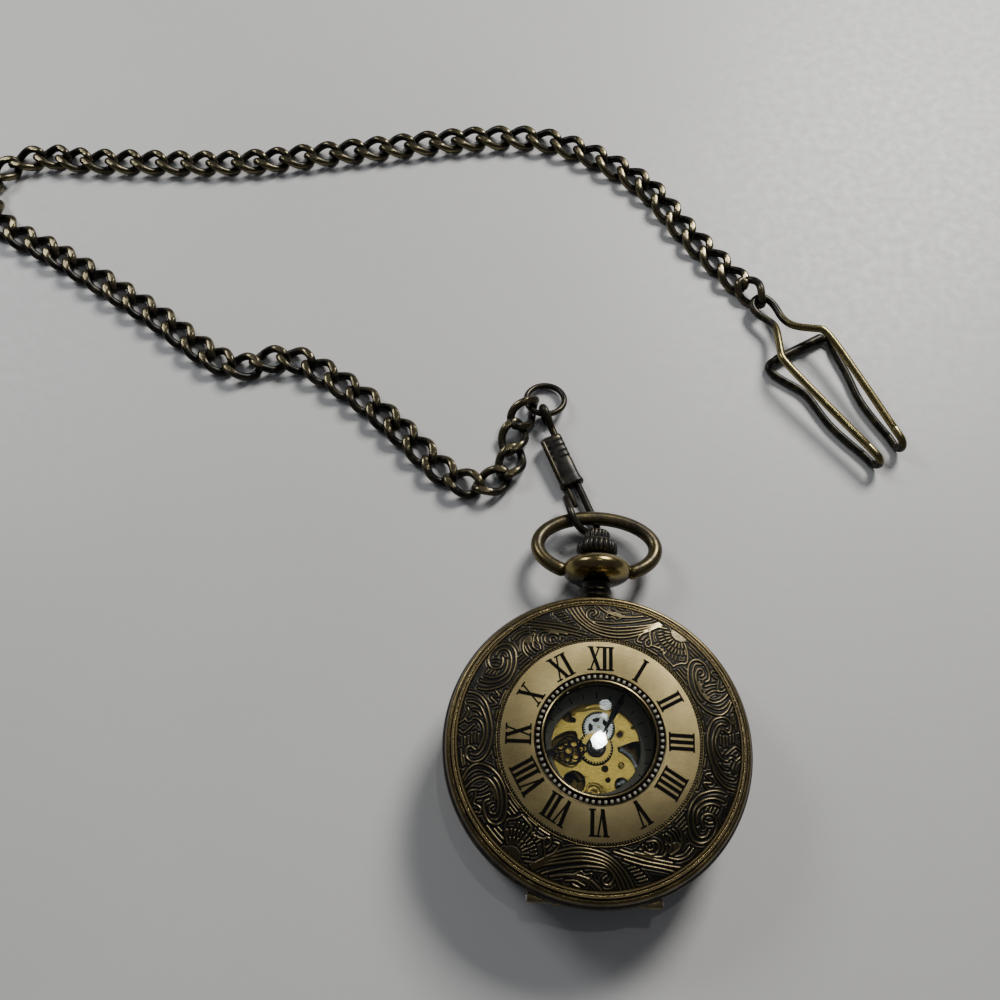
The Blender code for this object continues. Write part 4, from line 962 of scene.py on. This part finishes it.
def gear(centre, tip, root, teeth, low, high, bore=0.0, spokes=0, hub=0.0, rim=0.0):
    """Wheel with rounded teeth, crossed out into spokes where asked."""
    outline = []
    for i in range(teeth):
        for share, radius in ((0.0, root), (0.22, root), (0.36, (root + tip) / 2), (0.44, tip), (0.62, tip),
                              (0.7, (root + tip) / 2), (0.84, root)):
            outline.append(spot(radius, TURN * (i + share) / teeth, centre))
    solids = []
    inner = root - rim if spokes else bore
    solids.append(washer(outline, centre, inner, low, high))
    if spokes:
        solids.append(washer([spot(hub, TURN * i / 32, centre) for i in range(32)], centre, bore, low, high))
        for i in range(spokes):
            turn = TURN * i / spokes
            out = Vector((math.cos(turn), math.sin(turn)))
            side = Vector((-out.y, out.x)) * hub * 0.28
            spoke = strip(Vector(centre) + out * (hub * 0.8), Vector(centre) + out * (inner + 0.1), side)
            solids.append(plate(spoke, low + 0.002, high - 0.002))
    return joined(solids)


def washer(outline, centre, bore, low, high):
    """Flat solid between an outer outline and a round hole."""
    count = len(outline)
    hole = [spot(max(bore, 0.01), math.atan2(y - centre[1], x - centre[0]), centre) for x, y in outline]
    verts = [(x, y, z) for ring_points in (outline, hole) for z in (low, high) for x, y in ring_points]
    faces = []
    for i in range(count):
        j = (i + 1) % count
        faces.append((i, j, count + j, count + i))
        faces.append((count + i, count + j, 3 * count + j, 3 * count + i))
        faces.append((3 * count + i, 3 * count + j, 2 * count + j, 2 * count + i))
        faces.append((2 * count + i, 2 * count + j, j, i))
    return np.array(verts, float), faces


def carve(obj, cutters):
    """Cut holes from a piece, then drop the cutters."""
    for number, (verts, faces) in enumerate(cutters):
        mesh = bpy.data.meshes.new("cutter")
        mesh.from_pydata((np.array(verts) * MM).tolist(), [], faces)
        bm = bmesh.new()
        bm.from_mesh(mesh)
        bmesh.ops.remove_doubles(bm, verts=bm.verts, dist=1e-7)
        bmesh.ops.recalc_face_normals(bm, faces=bm.faces)
        bm.to_mesh(mesh)
        bm.free()
        cutter = bpy.data.objects.new(f"cutter_{number}", mesh)
        bpy.context.scene.collection.objects.link(cutter)
        modifier = obj.modifiers.new("cut", "BOOLEAN")
        modifier.operation = "DIFFERENCE"
        modifier.solver = "EXACT"
        modifier.object = cutter
        view = bpy.context.evaluated_depsgraph_get()
        view.update()
        carved = bpy.data.meshes.new_from_object(obj.evaluated_get(view))
        obj.modifiers.clear()
        obj.data = carved
        bpy.data.objects.remove(cutter, do_unlink=True)
    obj.data.shade_smooth()
    obj.data.set_sharp_from_angle(angle=SHARP)
    return obj


def peg(x, y, radius, low, high, steps=40):
    return hoop(0, radius, low, high, steps=steps, centre=(x, y, 0))


def screw(x, y, radius, base, turn):
    """A screw head, and a dark strip on it: painted shade that shows its slot."""
    head = hoop(0, radius, base - 0.4, base + 0.12, radius * 0.25, 36, centre=(x, y, 0))
    across = Vector((math.cos(turn), math.sin(turn)))
    side = Vector((-across.y, across.x)) * radius * 0.13
    middle = Vector((x, y))
    half = across * radius * 0.9
    return head, plate(strip(middle - half, middle + half, side), base + 0.1, base + 0.135)


def dial_ring():
    ring = rounded([(6.85, 8.05), (19.2, 8.05), (19.2, 8.4), (6.95, 8.4)], 0.06)
    show("dial_ring", revolve(ring, 192), DIAL, "case", ("dial",))
    ticks = []
    for i in range(24):
        turn = TURN * i / 24
        length, half = (1.0, 0.09) if i % 2 == 0 else (0.8, 0.06)
        out, side = Vector((math.cos(turn), math.sin(turn))), Vector((-math.sin(turn), math.cos(turn)))
        ticks.append(plate(strip(out * 7.55, out * (7.55 + length), side * half), 8.38, 8.43))
    track = hoop(9.6, 9.72, 8.38, 8.425)
    show("dial_minute_track", joined([*ticks, track]), MARKS, "case")


def main_plate():
    """Gilt plate with its openings, sinks and settings."""
    obj = show("main_plate_gilt", hoop(0, 18.3, 6.9, 7.9, 0.08), GILT, "case", ("main_plate",))
    right_opening = [(3.3, 0.25), (4.6, 0.8), (6.0, 1.3), (7.6, 1.5), (8.0, -0.6), (7.6, -2.6), (6.9, -3.7),
                     (6.1, -3.3), (5.75, -2.3), (5.1, -1.4), (4.2, -0.75), (3.5, -0.45)]
    left_opening = [(-7.4, 0.4), (-6.2, 1.5), (-4.6, 2.4), (-3.1, 2.5), (-2.7, 1.6), (-3.3, 0.9), (-4.4, 0.5),
                    (-5.6, -0.1), (-6.9, -0.4)]
    top_opening = [(-5.6, 5.0), (-4.9, 5.9), (-4.1, 5.6), (-3.75, 4.7), (-3.1, 4.35), (-3.2, 3.75),
                   (-4.3, 3.7), (-5.2, 4.1)]
    left_sink = [(-7.2, -1.6), (-2.9, -1.2), (-2.6, -3.2), (-4.4, -3.7), (-6.9, -3.2)]
    through = (6, 9)
    holes = [peg(0, 0, 2.72, 7.45, 9, 64), peg(*MINUTE_WHEEL_AT, 2.6, 7.45, 9, 64), peg(0, 0, 0.5, *through),
             *[plate(opening, *through) for opening in (right_opening, left_opening, top_opening)],
             peg(-3.2, -5.3, 1.75, *through), peg(1.45, -3.05, 0.55, *through),
             peg(1.95, -4.75, 0.42, *through), peg(4.0, -5.3, 1.1, *through), peg(2.2, 5.0, 0.5, 7.2, 9),
             peg(5.7, 3.4, 0.35, *through), peg(*SETTING_AT, 1.45, 7.45, 8.2, 64),
             peg(*JEWEL_AT, 0.68, 7.6, 8.2), peg(*SCREW_AT, 0.56, 7.6, 8.2), plate(left_sink, 7.6, 8.2)]
    carve(obj, holes)
    plate_screws()
    plate_settings()
    plate_bridge_and_sinks()
    toothed_segment()


def plate_screws():
    heads, slot_shades = [], []
    for x, y, radius, turn in ((*SCREW_AT, 0.46, 0.7), (0.75, -5.75, 0.24, 0.2), (1.45, -6.35, 0.26, 1.0),
                               (-6.2, 3.3, 0.5, 1.2)):
        head, slot_shade = screw(x, y, radius, 7.85, turn)
        heads.append(head)
        slot_shades.append(slot_shade)
    show("plate_screws", joined(heads), GILT, "case")
    # The slots are dark strips, painted shade in place of cut slots.
    show("plate_screw_slot_shades", joined(slot_shades), NUMERAL, "case")


def plate_settings():
    stone = rounded([(0, 7.55), (0.4, 7.55), (0.4, 7.82), (0, 7.74)], 0.05)
    show("plate_jewel_setting", hoop(0.4, 0.6, 7.55, 7.95, 0.05, 36, centre=(*JEWEL_AT, 0)), GILT, "case")
    show("plate_jewel", revolve(stone, 36, centre=(*JEWEL_AT, 0)), RUBY, "case")
    post = rounded([(0, 6.95), (0.55, 6.95), (0.55, 7.7), (0, 7.8)], 0.15)
    foot = plate([(3.2, -5.5), (4.1, -5.2), (4.0, -4.8), (3.3, -5.0)], 7.2, 7.6, 0.05)
    show("plate_steel_post", joined([revolve(post, 36, centre=(4.25, -5.0, 0)), foot]), STEEL, "case")
    setting = [hoop(0.95, 1.22, 7.5, 8.05, 0.08, 48, centre=(*SETTING_AT, 0)),
               hoop(0.3, 0.55, 7.5, 8.0, 0.08, 36, centre=(*SETTING_AT, 0))]
    show("plate_lower_setting", joined(setting), GILT, "case")


def plate_bridge_and_sinks():
    bridge = [(-3.9, 6.6), (-3.95, 5.2), (-3.75, 4.85), (-3.4, 4.75), (-3.15, 4.95), (-3.1, 5.35),
              (-2.6, 5.6), (-1.9, 5.5), (-1.35, 5.75), (-0.5, 5.95), (0.5, 5.95), (1.2, 5.7), (1.9, 5.9),
              (2.6, 5.5), (3.1, 5.4), (3.1, 5.9), (2.0, 6.6), (0, 7.0), (-2.0, 7.0)]
    show("plate_upper_bridge", plate(bridge, 7.88, 8.12, 0.05), GILT, "case")
    # Near-black floors in the wheel sinks, painted as the shade between the teeth.
    shade_floors = [hoop(0.72, 2.7, 7.44, 7.48, steps=64),
              hoop(0.3, 2.58, 7.4, 7.46, steps=64, centre=(*MINUTE_WHEEL_AT, 0))]
    show("plate_wheel_sink_shade", joined(shade_floors), HOLLOW_SHADE, "case")


def toothed_segment():
    """The toothed steel edge in the right-hand opening."""
    teeth = []
    for i in range(13):
        turn = math.radians(12 + 5.2 * i)
        teeth += [spot(radius, turn + math.radians(offset), SEGMENT_CENTRE) for radius, offset in
                  ((3.62, -1.7), (3.92, -0.9), (3.92, 0.9), (3.62, 1.7))]
    inner = [spot(3.15, math.radians(76 - 6 * i), SEGMENT_CENTRE) for i in range(12)]
    show("plate_toothed_segment", plate(teeth + inner, 7.55, 7.82, 0.03), STEEL, "case")


def motion_wheels():
    hour_wheel = joined([gear((0, 0), 2.5, 2.2, 34, 8.42, 8.62, 0.72), hoop(0.68, 1.05, 8.5, 9.0, 0.06, 40)])
    show("hour_wheel_gear", hour_wheel, GILT, "hour_set", ("hour_wheel",))
    minute_wheel = joined([gear(MINUTE_WHEEL_AT, 2.4, 2.08, 36, 8.05, 8.25, 0.2, 5, 0.9, 0.5),
                           gear(MINUTE_WHEEL_AT, 0.6, 0.42, 8, 8.25, 8.64, 0.2)])
    show("minute_wheel_gear", minute_wheel, STEEL, "motion_wheel", ("minute_wheel",))
    pinion = [(0.3, 8.0), (0.7, 8.0), (0.7, 8.35), (0.55, 8.4), (0.55, 9.4), (0.5, 9.55), (0.3, 9.6)]
    show("cannon_pinion_turned", revolve(pinion, 40), STEEL, "minute_set", ("cannon_pinion",))
    tip = rounded([(0, 8.9), (0.28, 8.9), (0.28, 9.7), (0, 9.75)], 0.08)
    show("centre_arbor_tip", revolve(tip, 24), STEEL, "minute_set")


def hand_place(angle):
    return Matrix.Rotation(-math.radians(angle), 4, "Z")


def hour_hand():
    """Pierced hour hand: round cells inside a leaf outline."""
    z, wire_r = 8.84, 0.13
    parts = [hoop(1.08, 1.55, 8.74, 8.93, 0.05, 48)]
    half = [(0.35, 1.4), (0.6, 1.9), (1.6, 2.8), (2.1, 4.0), (1.55, 5.3), (0.6, 6.3)]
    outline = [*[(-x, y, z) for x, y in half], (0.0, 7.9, z), *[(x, y, z) for x, y in reversed(half)]]
    parts.append(tube(smooth_path(outline, 8), wire_r * 1.2, 8, squash=0.7))
    cells = [(0, 2.4, 0.52), (-0.92, 3.3, 0.6), (0.92, 3.3, 0.6), (0, 4.25, 0.62), (-1.25, 4.5, 0.52),
             (1.25, 4.5, 0.52), (-0.62, 5.3, 0.48), (0.62, 5.3, 0.48), (0, 6.1, 0.36), (0, 6.85, 0.24)]
    for x, y, radius in cells:
        circle = [(*spot(radius, TURN * i / 24, (x, y)), z) for i in range(24)]
        parts.append(tube(circle, wire_r, 8, closed=True, squash=0.7))
    hand = moved(joined(parts), hand_place(HOUR_HAND_ANGLE))
    show("hour_hand_pierced", hand, BLUED, "hour_set", ("hour_hand",))


def minute_hand():
    half = [(0.2, -1.1), (0.22, 1.0), (0.16, 2.2), (0.3, 4.5), (0.5, 6.2), (0.28, 8.2), (0.12, 9.6)]
    blade = plate([(0.0, -1.7), *half, (0.0, 11.6), *[(-x, y) for x, y in reversed(half)]], 9.15, 9.3, 0.04)
    hub = revolve(rounded([(0.6, 9.1), (1.05, 9.1), (1.05, 9.33), (0.6, 9.36)], 0.06), 40)
    hand = moved(joined([blade, hub]), hand_place(MINUTE_HAND_ANGLE))
    show("minute_hand_blade", hand, BLUED, "minute_set", ("minute_hand",))


# ---------------------------------------------------------------- clasp, chain and clip

EYE = (-9.0, 60.0)
SHAFT_ANGLE = math.radians(-65)
SLEEVE_SIDES = 32
RING_CENTRE = (-9.62, 64.05, 1.65)
RING_TILT = math.radians(-13)
CHAIN_PATH = ((-13.2, 61.1), (-15, 57), (-15, 52), (-19, 47), (-26, 48), (-36, 57), (-46, 65), (-58, 71),
              (-69, 69), (-86, 80), (-106, 92), (-119, 99), (-124, 108), (-117, 116), (-103, 116),
              (-75, 117), (-52, 121), (-23, 126), (-8, 125), (8, 116), (18, 103), (29.4, 89.6))
CLIP_LOOP = (31.7, 86.2)
LINKS = 63
PER_SEGMENT = 8
JOINT_SLACK = 0.55
LINK_A = 3.2
LINK_B = 2.1
LINK_WIRE = 0.74
LINK_FLAT = 1.36
LINK_TWIST = math.radians(52)
LINK_Z = 1.5
END_LINK_Z = 2.2
END_LINK_ROLL = math.radians(45)
CHAIN_BODIES = "abcdefgh"
TABLE_GAP = 0.02


def shaft_point(along, left=0.0, up=0.0):
    x = EYE[0] + along * math.cos(SHAFT_ANGLE) + left * math.sin(SHAFT_ANGLE)
    y = EYE[1] + along * math.sin(SHAFT_ANGLE) - left * math.cos(SHAFT_ANGLE)
    return (x, y, 2.1 - 0.06 * along + up)


def sleeve_stations():
    """Along the sleeve: place, how far it swells and how deep its grooves are. Its lower mouth is flared."""
    stations = [(3.6, -0.2, 0.0), (3.8, -0.05, 0.0)]
    for middle in (5.0, 6.1, 7.2, 8.3):
        stations += [(middle - 0.3, 0.0, 0.0), (middle - 0.12, 0.0, 0.07), (middle + 0.12, 0.0, 0.07),
                     (middle + 0.3, 0.0, 0.0)]
    return stations + [(11.4, 0.0, 0.0), (12.3, 0.06, 0.0), (12.9, 0.2, 0.0), (13.3, 0.27, 0.0),
                       (13.45, 0.22, 0.0), (13.6, 0.05, 0.0)]


def clasp():
    eye = [shaft_point(along, 0, up) for along, up in
           ((0.0, -1.15), (-1.0, -1.42), (-2.0, -1.0), (-2.45, 0), (-2.0, 1.0), (-1.0, 1.42), (0.3, 1.1),
            (1.5, 0.35), (3.0, 0))]
    hook = [(-0.3, 41.3, 0.9), (0.35, 39.6, 0.75), (0.3, 38.5, 1.05), (-0.5, 37.9, 1.8), (-1.7, 37.8, 2.9),
            (-2.9, 38.3, 3.9), (-3.9, 39.4, 4.6), (-4.5, 40.8, 4.75), (-4.9, 42.3, 4.1), (-5.3, 44.0, 2.9)]
    shaft = [shaft_point(along) for along in (14.0, 18.0)]
    wire = tube(eased(smooth_path(eye + shaft + hook, 5), 2), 0.66, 16)
    show("clasp_hook_wire", wire, BRONZE, "clasp", ("clasp_hook",))
    sections = []
    for along, swell, groove in sleeve_stations():
        ring = []
        for i in range(SLEEVE_SIDES):
            turn = TURN * i / SLEEVE_SIDES
            c, s = math.cos(turn), math.sin(turn)
            across = -0.95 + (1.95 + swell - groove) * math.copysign(abs(c) ** 0.6, c)
            high = (1.08 + swell - groove) * math.copysign(abs(s) ** 0.6, s)
            ring.append(shaft_point(along + 0.35 * swell * c, -across, high))
        sections.append(ring)
    verts = np.array(sections).reshape(-1, 3)
    faces = []
    for base in range(0, len(verts) - SLEEVE_SIDES, SLEEVE_SIDES):
        for k in range(SLEEVE_SIDES):
            m = (k + 1) % SLEEVE_SIDES
            faces.append((base + k, base + m, base + SLEEVE_SIDES + m, base + SLEEVE_SIDES + k))
    faces += [tuple(range(SLEEVE_SIDES)), tuple(reversed(range(len(verts) - SLEEVE_SIDES, len(verts))))]
    pin = tube([shaft_point(along, 2.0) for along in (11.6, 13.0, 15.0, 17.2)], 0.45, 12)
    roll = tube([shaft_point(along, 2.72, 0.62) for along in (4.3, 7.0, 10.0, 12.3)], 0.46, 12)
    show("clasp_sleeve_folded", joined([(verts, faces), pin, roll]), BRONZE, "clasp_gate", ("clasp_sleeve",))


def end_ring():
    circle = [(*spot(3.5, TURN * i / 72, (0.1, 0.3)), 0) for i in range(72)]
    loop = tube(circle, 0.55, 16, closed=True)
    place = Matrix.Translation(RING_CENTRE) @ Matrix.Rotation(RING_TILT, 4, "X")
    show("chain_ring_wire", moved(loop, place), BRONZE, "end_ring", ("chain_ring",))


def chain_centres():
    path = smooth_path(CHAIN_PATH)
    run = [0.0]
    for a, b in zip(path, path[1:]):
        run.append(run[-1] + (b - a).length)
    pitch = (run[-1] + ((LINKS - 1) // PER_SEGMENT) * JOINT_SLACK) / (LINKS - 1)
    centres = []
    for index in range(LINKS):
        along = min(index * pitch - (index // PER_SEGMENT) * JOINT_SLACK, run[-1])
        k = next((k for k in range(len(run) - 1) if run[k + 1] >= along), len(run) - 2)
        centres.append(path[k].lerp(path[k + 1], (along - run[k]) / (run[k + 1] - run[k])))
    return centres


def curb_link():
    """An oval of thick wire, twisted and filed flat above and below. Also how worn each place is, with a
    painted highlight along one side.
    """
    points = []
    for i in range(40):
        t = TURN * i / 40
        twist = LINK_TWIST * math.cos(t)
        points.append((LINK_A * math.cos(t), LINK_B * math.sin(t) * math.cos(twist),
                       LINK_B * math.sin(t) * math.sin(twist)))
    verts, faces = tube(points, LINK_WIRE, 14, closed=True)
    flat = np.clip(verts[:, 2], -LINK_FLAT, LINK_FLAT)
    filed = np.abs(verts[:, 2]) > LINK_FLAT - 0.02
    # Filed faces are rubbed bright; the outer edge on one side gets a painted highlight.
    wear_and_light = np.where(filed, 0.75, 0.0) + np.clip(-verts[:, 1] / LINK_B - 0.75, 0, 0.5)
    return (np.c_[verts[:, :2], flat], faces), wear_and_light


def chain():
    centres = chain_centres()
    line = [Vector(RING_CENTRE[:2]), *centres, Vector(CLIP_LOOP)]
    link, wear_and_light = curb_link()
    groups = [[] for _ in CHAIN_BODIES]
    for i, centre in enumerate(centres):
        ahead, behind = line[i + 2], line[i]
        heading = math.atan2(ahead.y - behind.y, ahead.x - behind.x)
        end = {0: -1, LINKS - 1: 1}.get(i, 0)
        rise = END_LINK_Z if end else LINK_Z
        place = (Matrix.Translation((centre.x, centre.y, rise)) @ Matrix.Rotation(heading, 4, "Z")
                 @ Matrix.Rotation(end * END_LINK_ROLL, 4, "X"))
        verts, faces = moved(link, place)
        verts[:, 2] = np.maximum(verts[:, 2], TABLE_GAP)
        groups[i // PER_SEGMENT].append((verts, faces))
    # Each link carries its wear and its painted highlight as the relief mark.
    for number, (letter, links) in enumerate(zip(CHAIN_BODIES, groups), 1):
        show(f"chain_links_{number:02d}", joined(links), CHAIN, f"chain_{letter}", (f"chain_{number:02d}",),
             relief=np.tile(wear_and_light, len(links)))


CLIP_UPPER = ((48.2, 56.4, 3.95), (35.0, 71.6, 4.7), (33.7, 74.3, 4.6), (33.5, 79.2, 3.7), (33.1, 82.2, 2.8),
              (30.6, 84.2, 2.3), (29.2, 86.8, 2.2), (31.2, 88.8, 2.2), (33.5, 87.0, 2.3), (34.8, 83.4, 2.8),
              (37.0, 81.2, 3.6), (41.1, 80.3, 4.5), (43.3, 78.4, 4.7), (53.2, 60.2, 3.95))
CLIP_LOWER = (((48.2, 56.4, 0.75), (42.5, 62.1, 0.75), (39.0, 68.2, 0.75), (35.6, 70.6, 0.75),
               (32.6, 72.6, 0.8), (32.1, 73.9, 0.95), (33.0, 75.0, 1.0), (34.6, 75.9, 1.0)),
              ((53.2, 60.2, 0.75), (48.8, 66.9, 0.75), (46.8, 73.0, 0.75), (44.8, 77.6, 0.8),
               (44.5, 79.6, 0.95), (43.2, 80.7, 1.0), (41.4, 80.0, 1.0)))
CLIP_WIRE = 0.71
HAIRPIN_RADIUS = 1.6
HAIRPIN_Z = 2.35
HAIRPINS = (((49.35, 55.0), math.radians(-49)), ((54.0, 58.7), math.radians(-61.3)))


def hairpin(base, heading, start, end, count):
    points = []
    for i in range(count):
        turn = start + (end - start) * i / (count - 1)
        x, y = spot(HAIRPIN_RADIUS * math.cos(turn), heading, base)
        points.append(Vector((x, y, HAIRPIN_Z + HAIRPIN_RADIUS * math.sin(turn))))
    return points


def vest_clip():
    quarter = math.pi / 2
    upper = eased(smooth_path(CLIP_UPPER, 10), 24)
    show("clip_upper_wire", tube(upper, CLIP_WIRE, 16), CLIP_BRASS_LIT_ABOVE, "clip", ("clip_wire",))
    arms = [tube(eased(smooth_path(run, 10), 16), CLIP_WIRE, 16) for run in CLIP_LOWER]
    ends = [Vector(run[-1]) for run in CLIP_LOWER]
    across = (ends[1] - ends[0]).normalized()
    along = [ends[0].lerp(ends[1], t / 6) for t in range(7)]
    bar = tube([ends[0] - across * 0.9, *along, ends[1] + across * 0.9], 0.95, 16)
    show("clip_lower_wire", joined([*arms, bar]), CLIP_BRASS_LIT_ABOVE, "jaw", ("clip_jaw",))
    for number, (base, heading) in enumerate(HAIRPINS, 1):
        run_in = Vector(CLIP_UPPER[0] if number == 1 else CLIP_UPPER[-1])
        run_out = Vector(CLIP_LOWER[number - 1][0])
        bend = hairpin(base, heading, quarter, -quarter, 25)
        obj = show(f"clip_bend_{number}", tube([run_in, *bend, run_out], CLIP_WIRE + 0.01, 16), CLIP_BRASS_LIT_ABOVE, None)
        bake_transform(obj)


# ---------------------------------------------------------------- CAD nodes that stay

KEPT = {
    # Parts under the plate take the gilt painted darker as shade.
    GILT_IN_SHADE: ("barrel_bridge", "train_bridge", "pallet_cock", "mainspring_barrel", "barrel_lid", "centre_wheel",
            "third_wheel", "fourth_wheel"),
    GILT: ("balance_cock", "balance_wheel"),
    STEEL: ("mainspring", "barrel_arbor", "ratchet_wheel", "escape_wheel", "pallet_fork", "crown_wheel",
            "click", "lift_spring", "lock_spring"),
    BLUED: ("hairspring",),
}


def dress_kept():
    for material, names in KEPT.items():
        for name in names:
            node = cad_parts[name]
            node.data.materials.clear()
            node.data.materials.append(material)


# ---------------------------------------------------------------- stage

CAMERA_AT = (-13.22, -31.03, 171.19)
CAMERA_PITCH = math.radians(23.822)
CAMERA_TURN = math.radians(2.8)


def lamp(name, kind, place, aim, energy, size, colour=(1, 1, 1)):
    data = bpy.data.lights.new(name, "AREA")
    data.shape = kind
    data.size = size
    data.energy = energy
    data.color = colour
    obj = bpy.data.objects.new(name, data)
    obj.location = place
    obj.rotation_euler = (Vector(aim) - Vector(place)).to_track_quat("-Z", "Y").to_euler()
    bpy.context.scene.collection.objects.link(obj)
    return obj


def table_top():
    look = Look("table")
    clouds = look.remap(look.noise(0.02, 3.0), 0.3, 0.7)
    colour = look.mix(clouds, rgb(0.56, 0.556, 0.545), rgb(0.535, 0.53, 0.52))
    material = look.finish(colour, look.remap(look.noise(0.5, 3.0), 0.3, 0.7, 0.4, 0.5), 0.0,
                           ((look.noise(0.8, 4.0), 0.01),))
    bm = bmesh.new()
    bmesh.ops.create_grid(bm, x_segments=1, y_segments=1, size=1.5)
    mesh = bpy.data.meshes.new("table")
    bm.to_mesh(mesh)
    bm.free()
    mesh.materials.append(material)
    obj = bpy.data.objects.new("table", mesh)
    obj.location = (0, 0, -0.00002)
    bpy.context.scene.collection.objects.link(obj)


def studio():
    table_top()
    world = bpy.data.worlds.new("studio")
    bpy.context.scene.world = world
    world.use_nodes = True
    background = world.node_tree.nodes["Background"]
    background.inputs["Color"].default_value = (0.86, 0.9, 1.0, 1)
    background.inputs["Strength"].default_value = 0.1
    watch, middle = (0, 0, 0.01), (-0.02, 0.08, 0)
    lamps = [lamp("key", "SQUARE", (0.26, 0.54, 0.48), middle, 6.0, 0.22, (1.0, 0.985, 0.95)),
             lamp("left_window", "SQUARE", (-0.42, 0.36, 0.42), middle, 1.3, 0.2, (0.95, 0.97, 1.0)),
             lamp("ceiling", "DISK", (0.052, 0.122, 0.62), watch, 0.13, 0.018, (1.0, 1.0, 1.0)),
             lamp("far_ceiling", "DISK", (0.060, 0.168, 0.62), watch, 0.008, 0.015, (0.92, 0.95, 1.0))]
    data = bpy.data.cameras.new("camera")
    data.lens = 37.8
    data.sensor_width = 36
    data.clip_start = 0.01
    camera = bpy.data.objects.new("camera", data)
    camera.location = [c * MM for c in CAMERA_AT]
    camera.rotation_euler = (CAMERA_PITCH, 0, CAMERA_TURN)
    bpy.context.scene.collection.objects.link(camera)
    bpy.context.scene.camera = camera


front_shell()
front_band()
front_rings()
front_numerals()
front_crystal()
case_body()
back_body()
case_inside()
pendant_body()
bow_body()
crown_body()
dial_ring()
main_plate()
motion_wheels()
hour_hand()
minute_hand()
clasp()
end_ring()
chain()
vest_clip()
dress_kept()
studio()
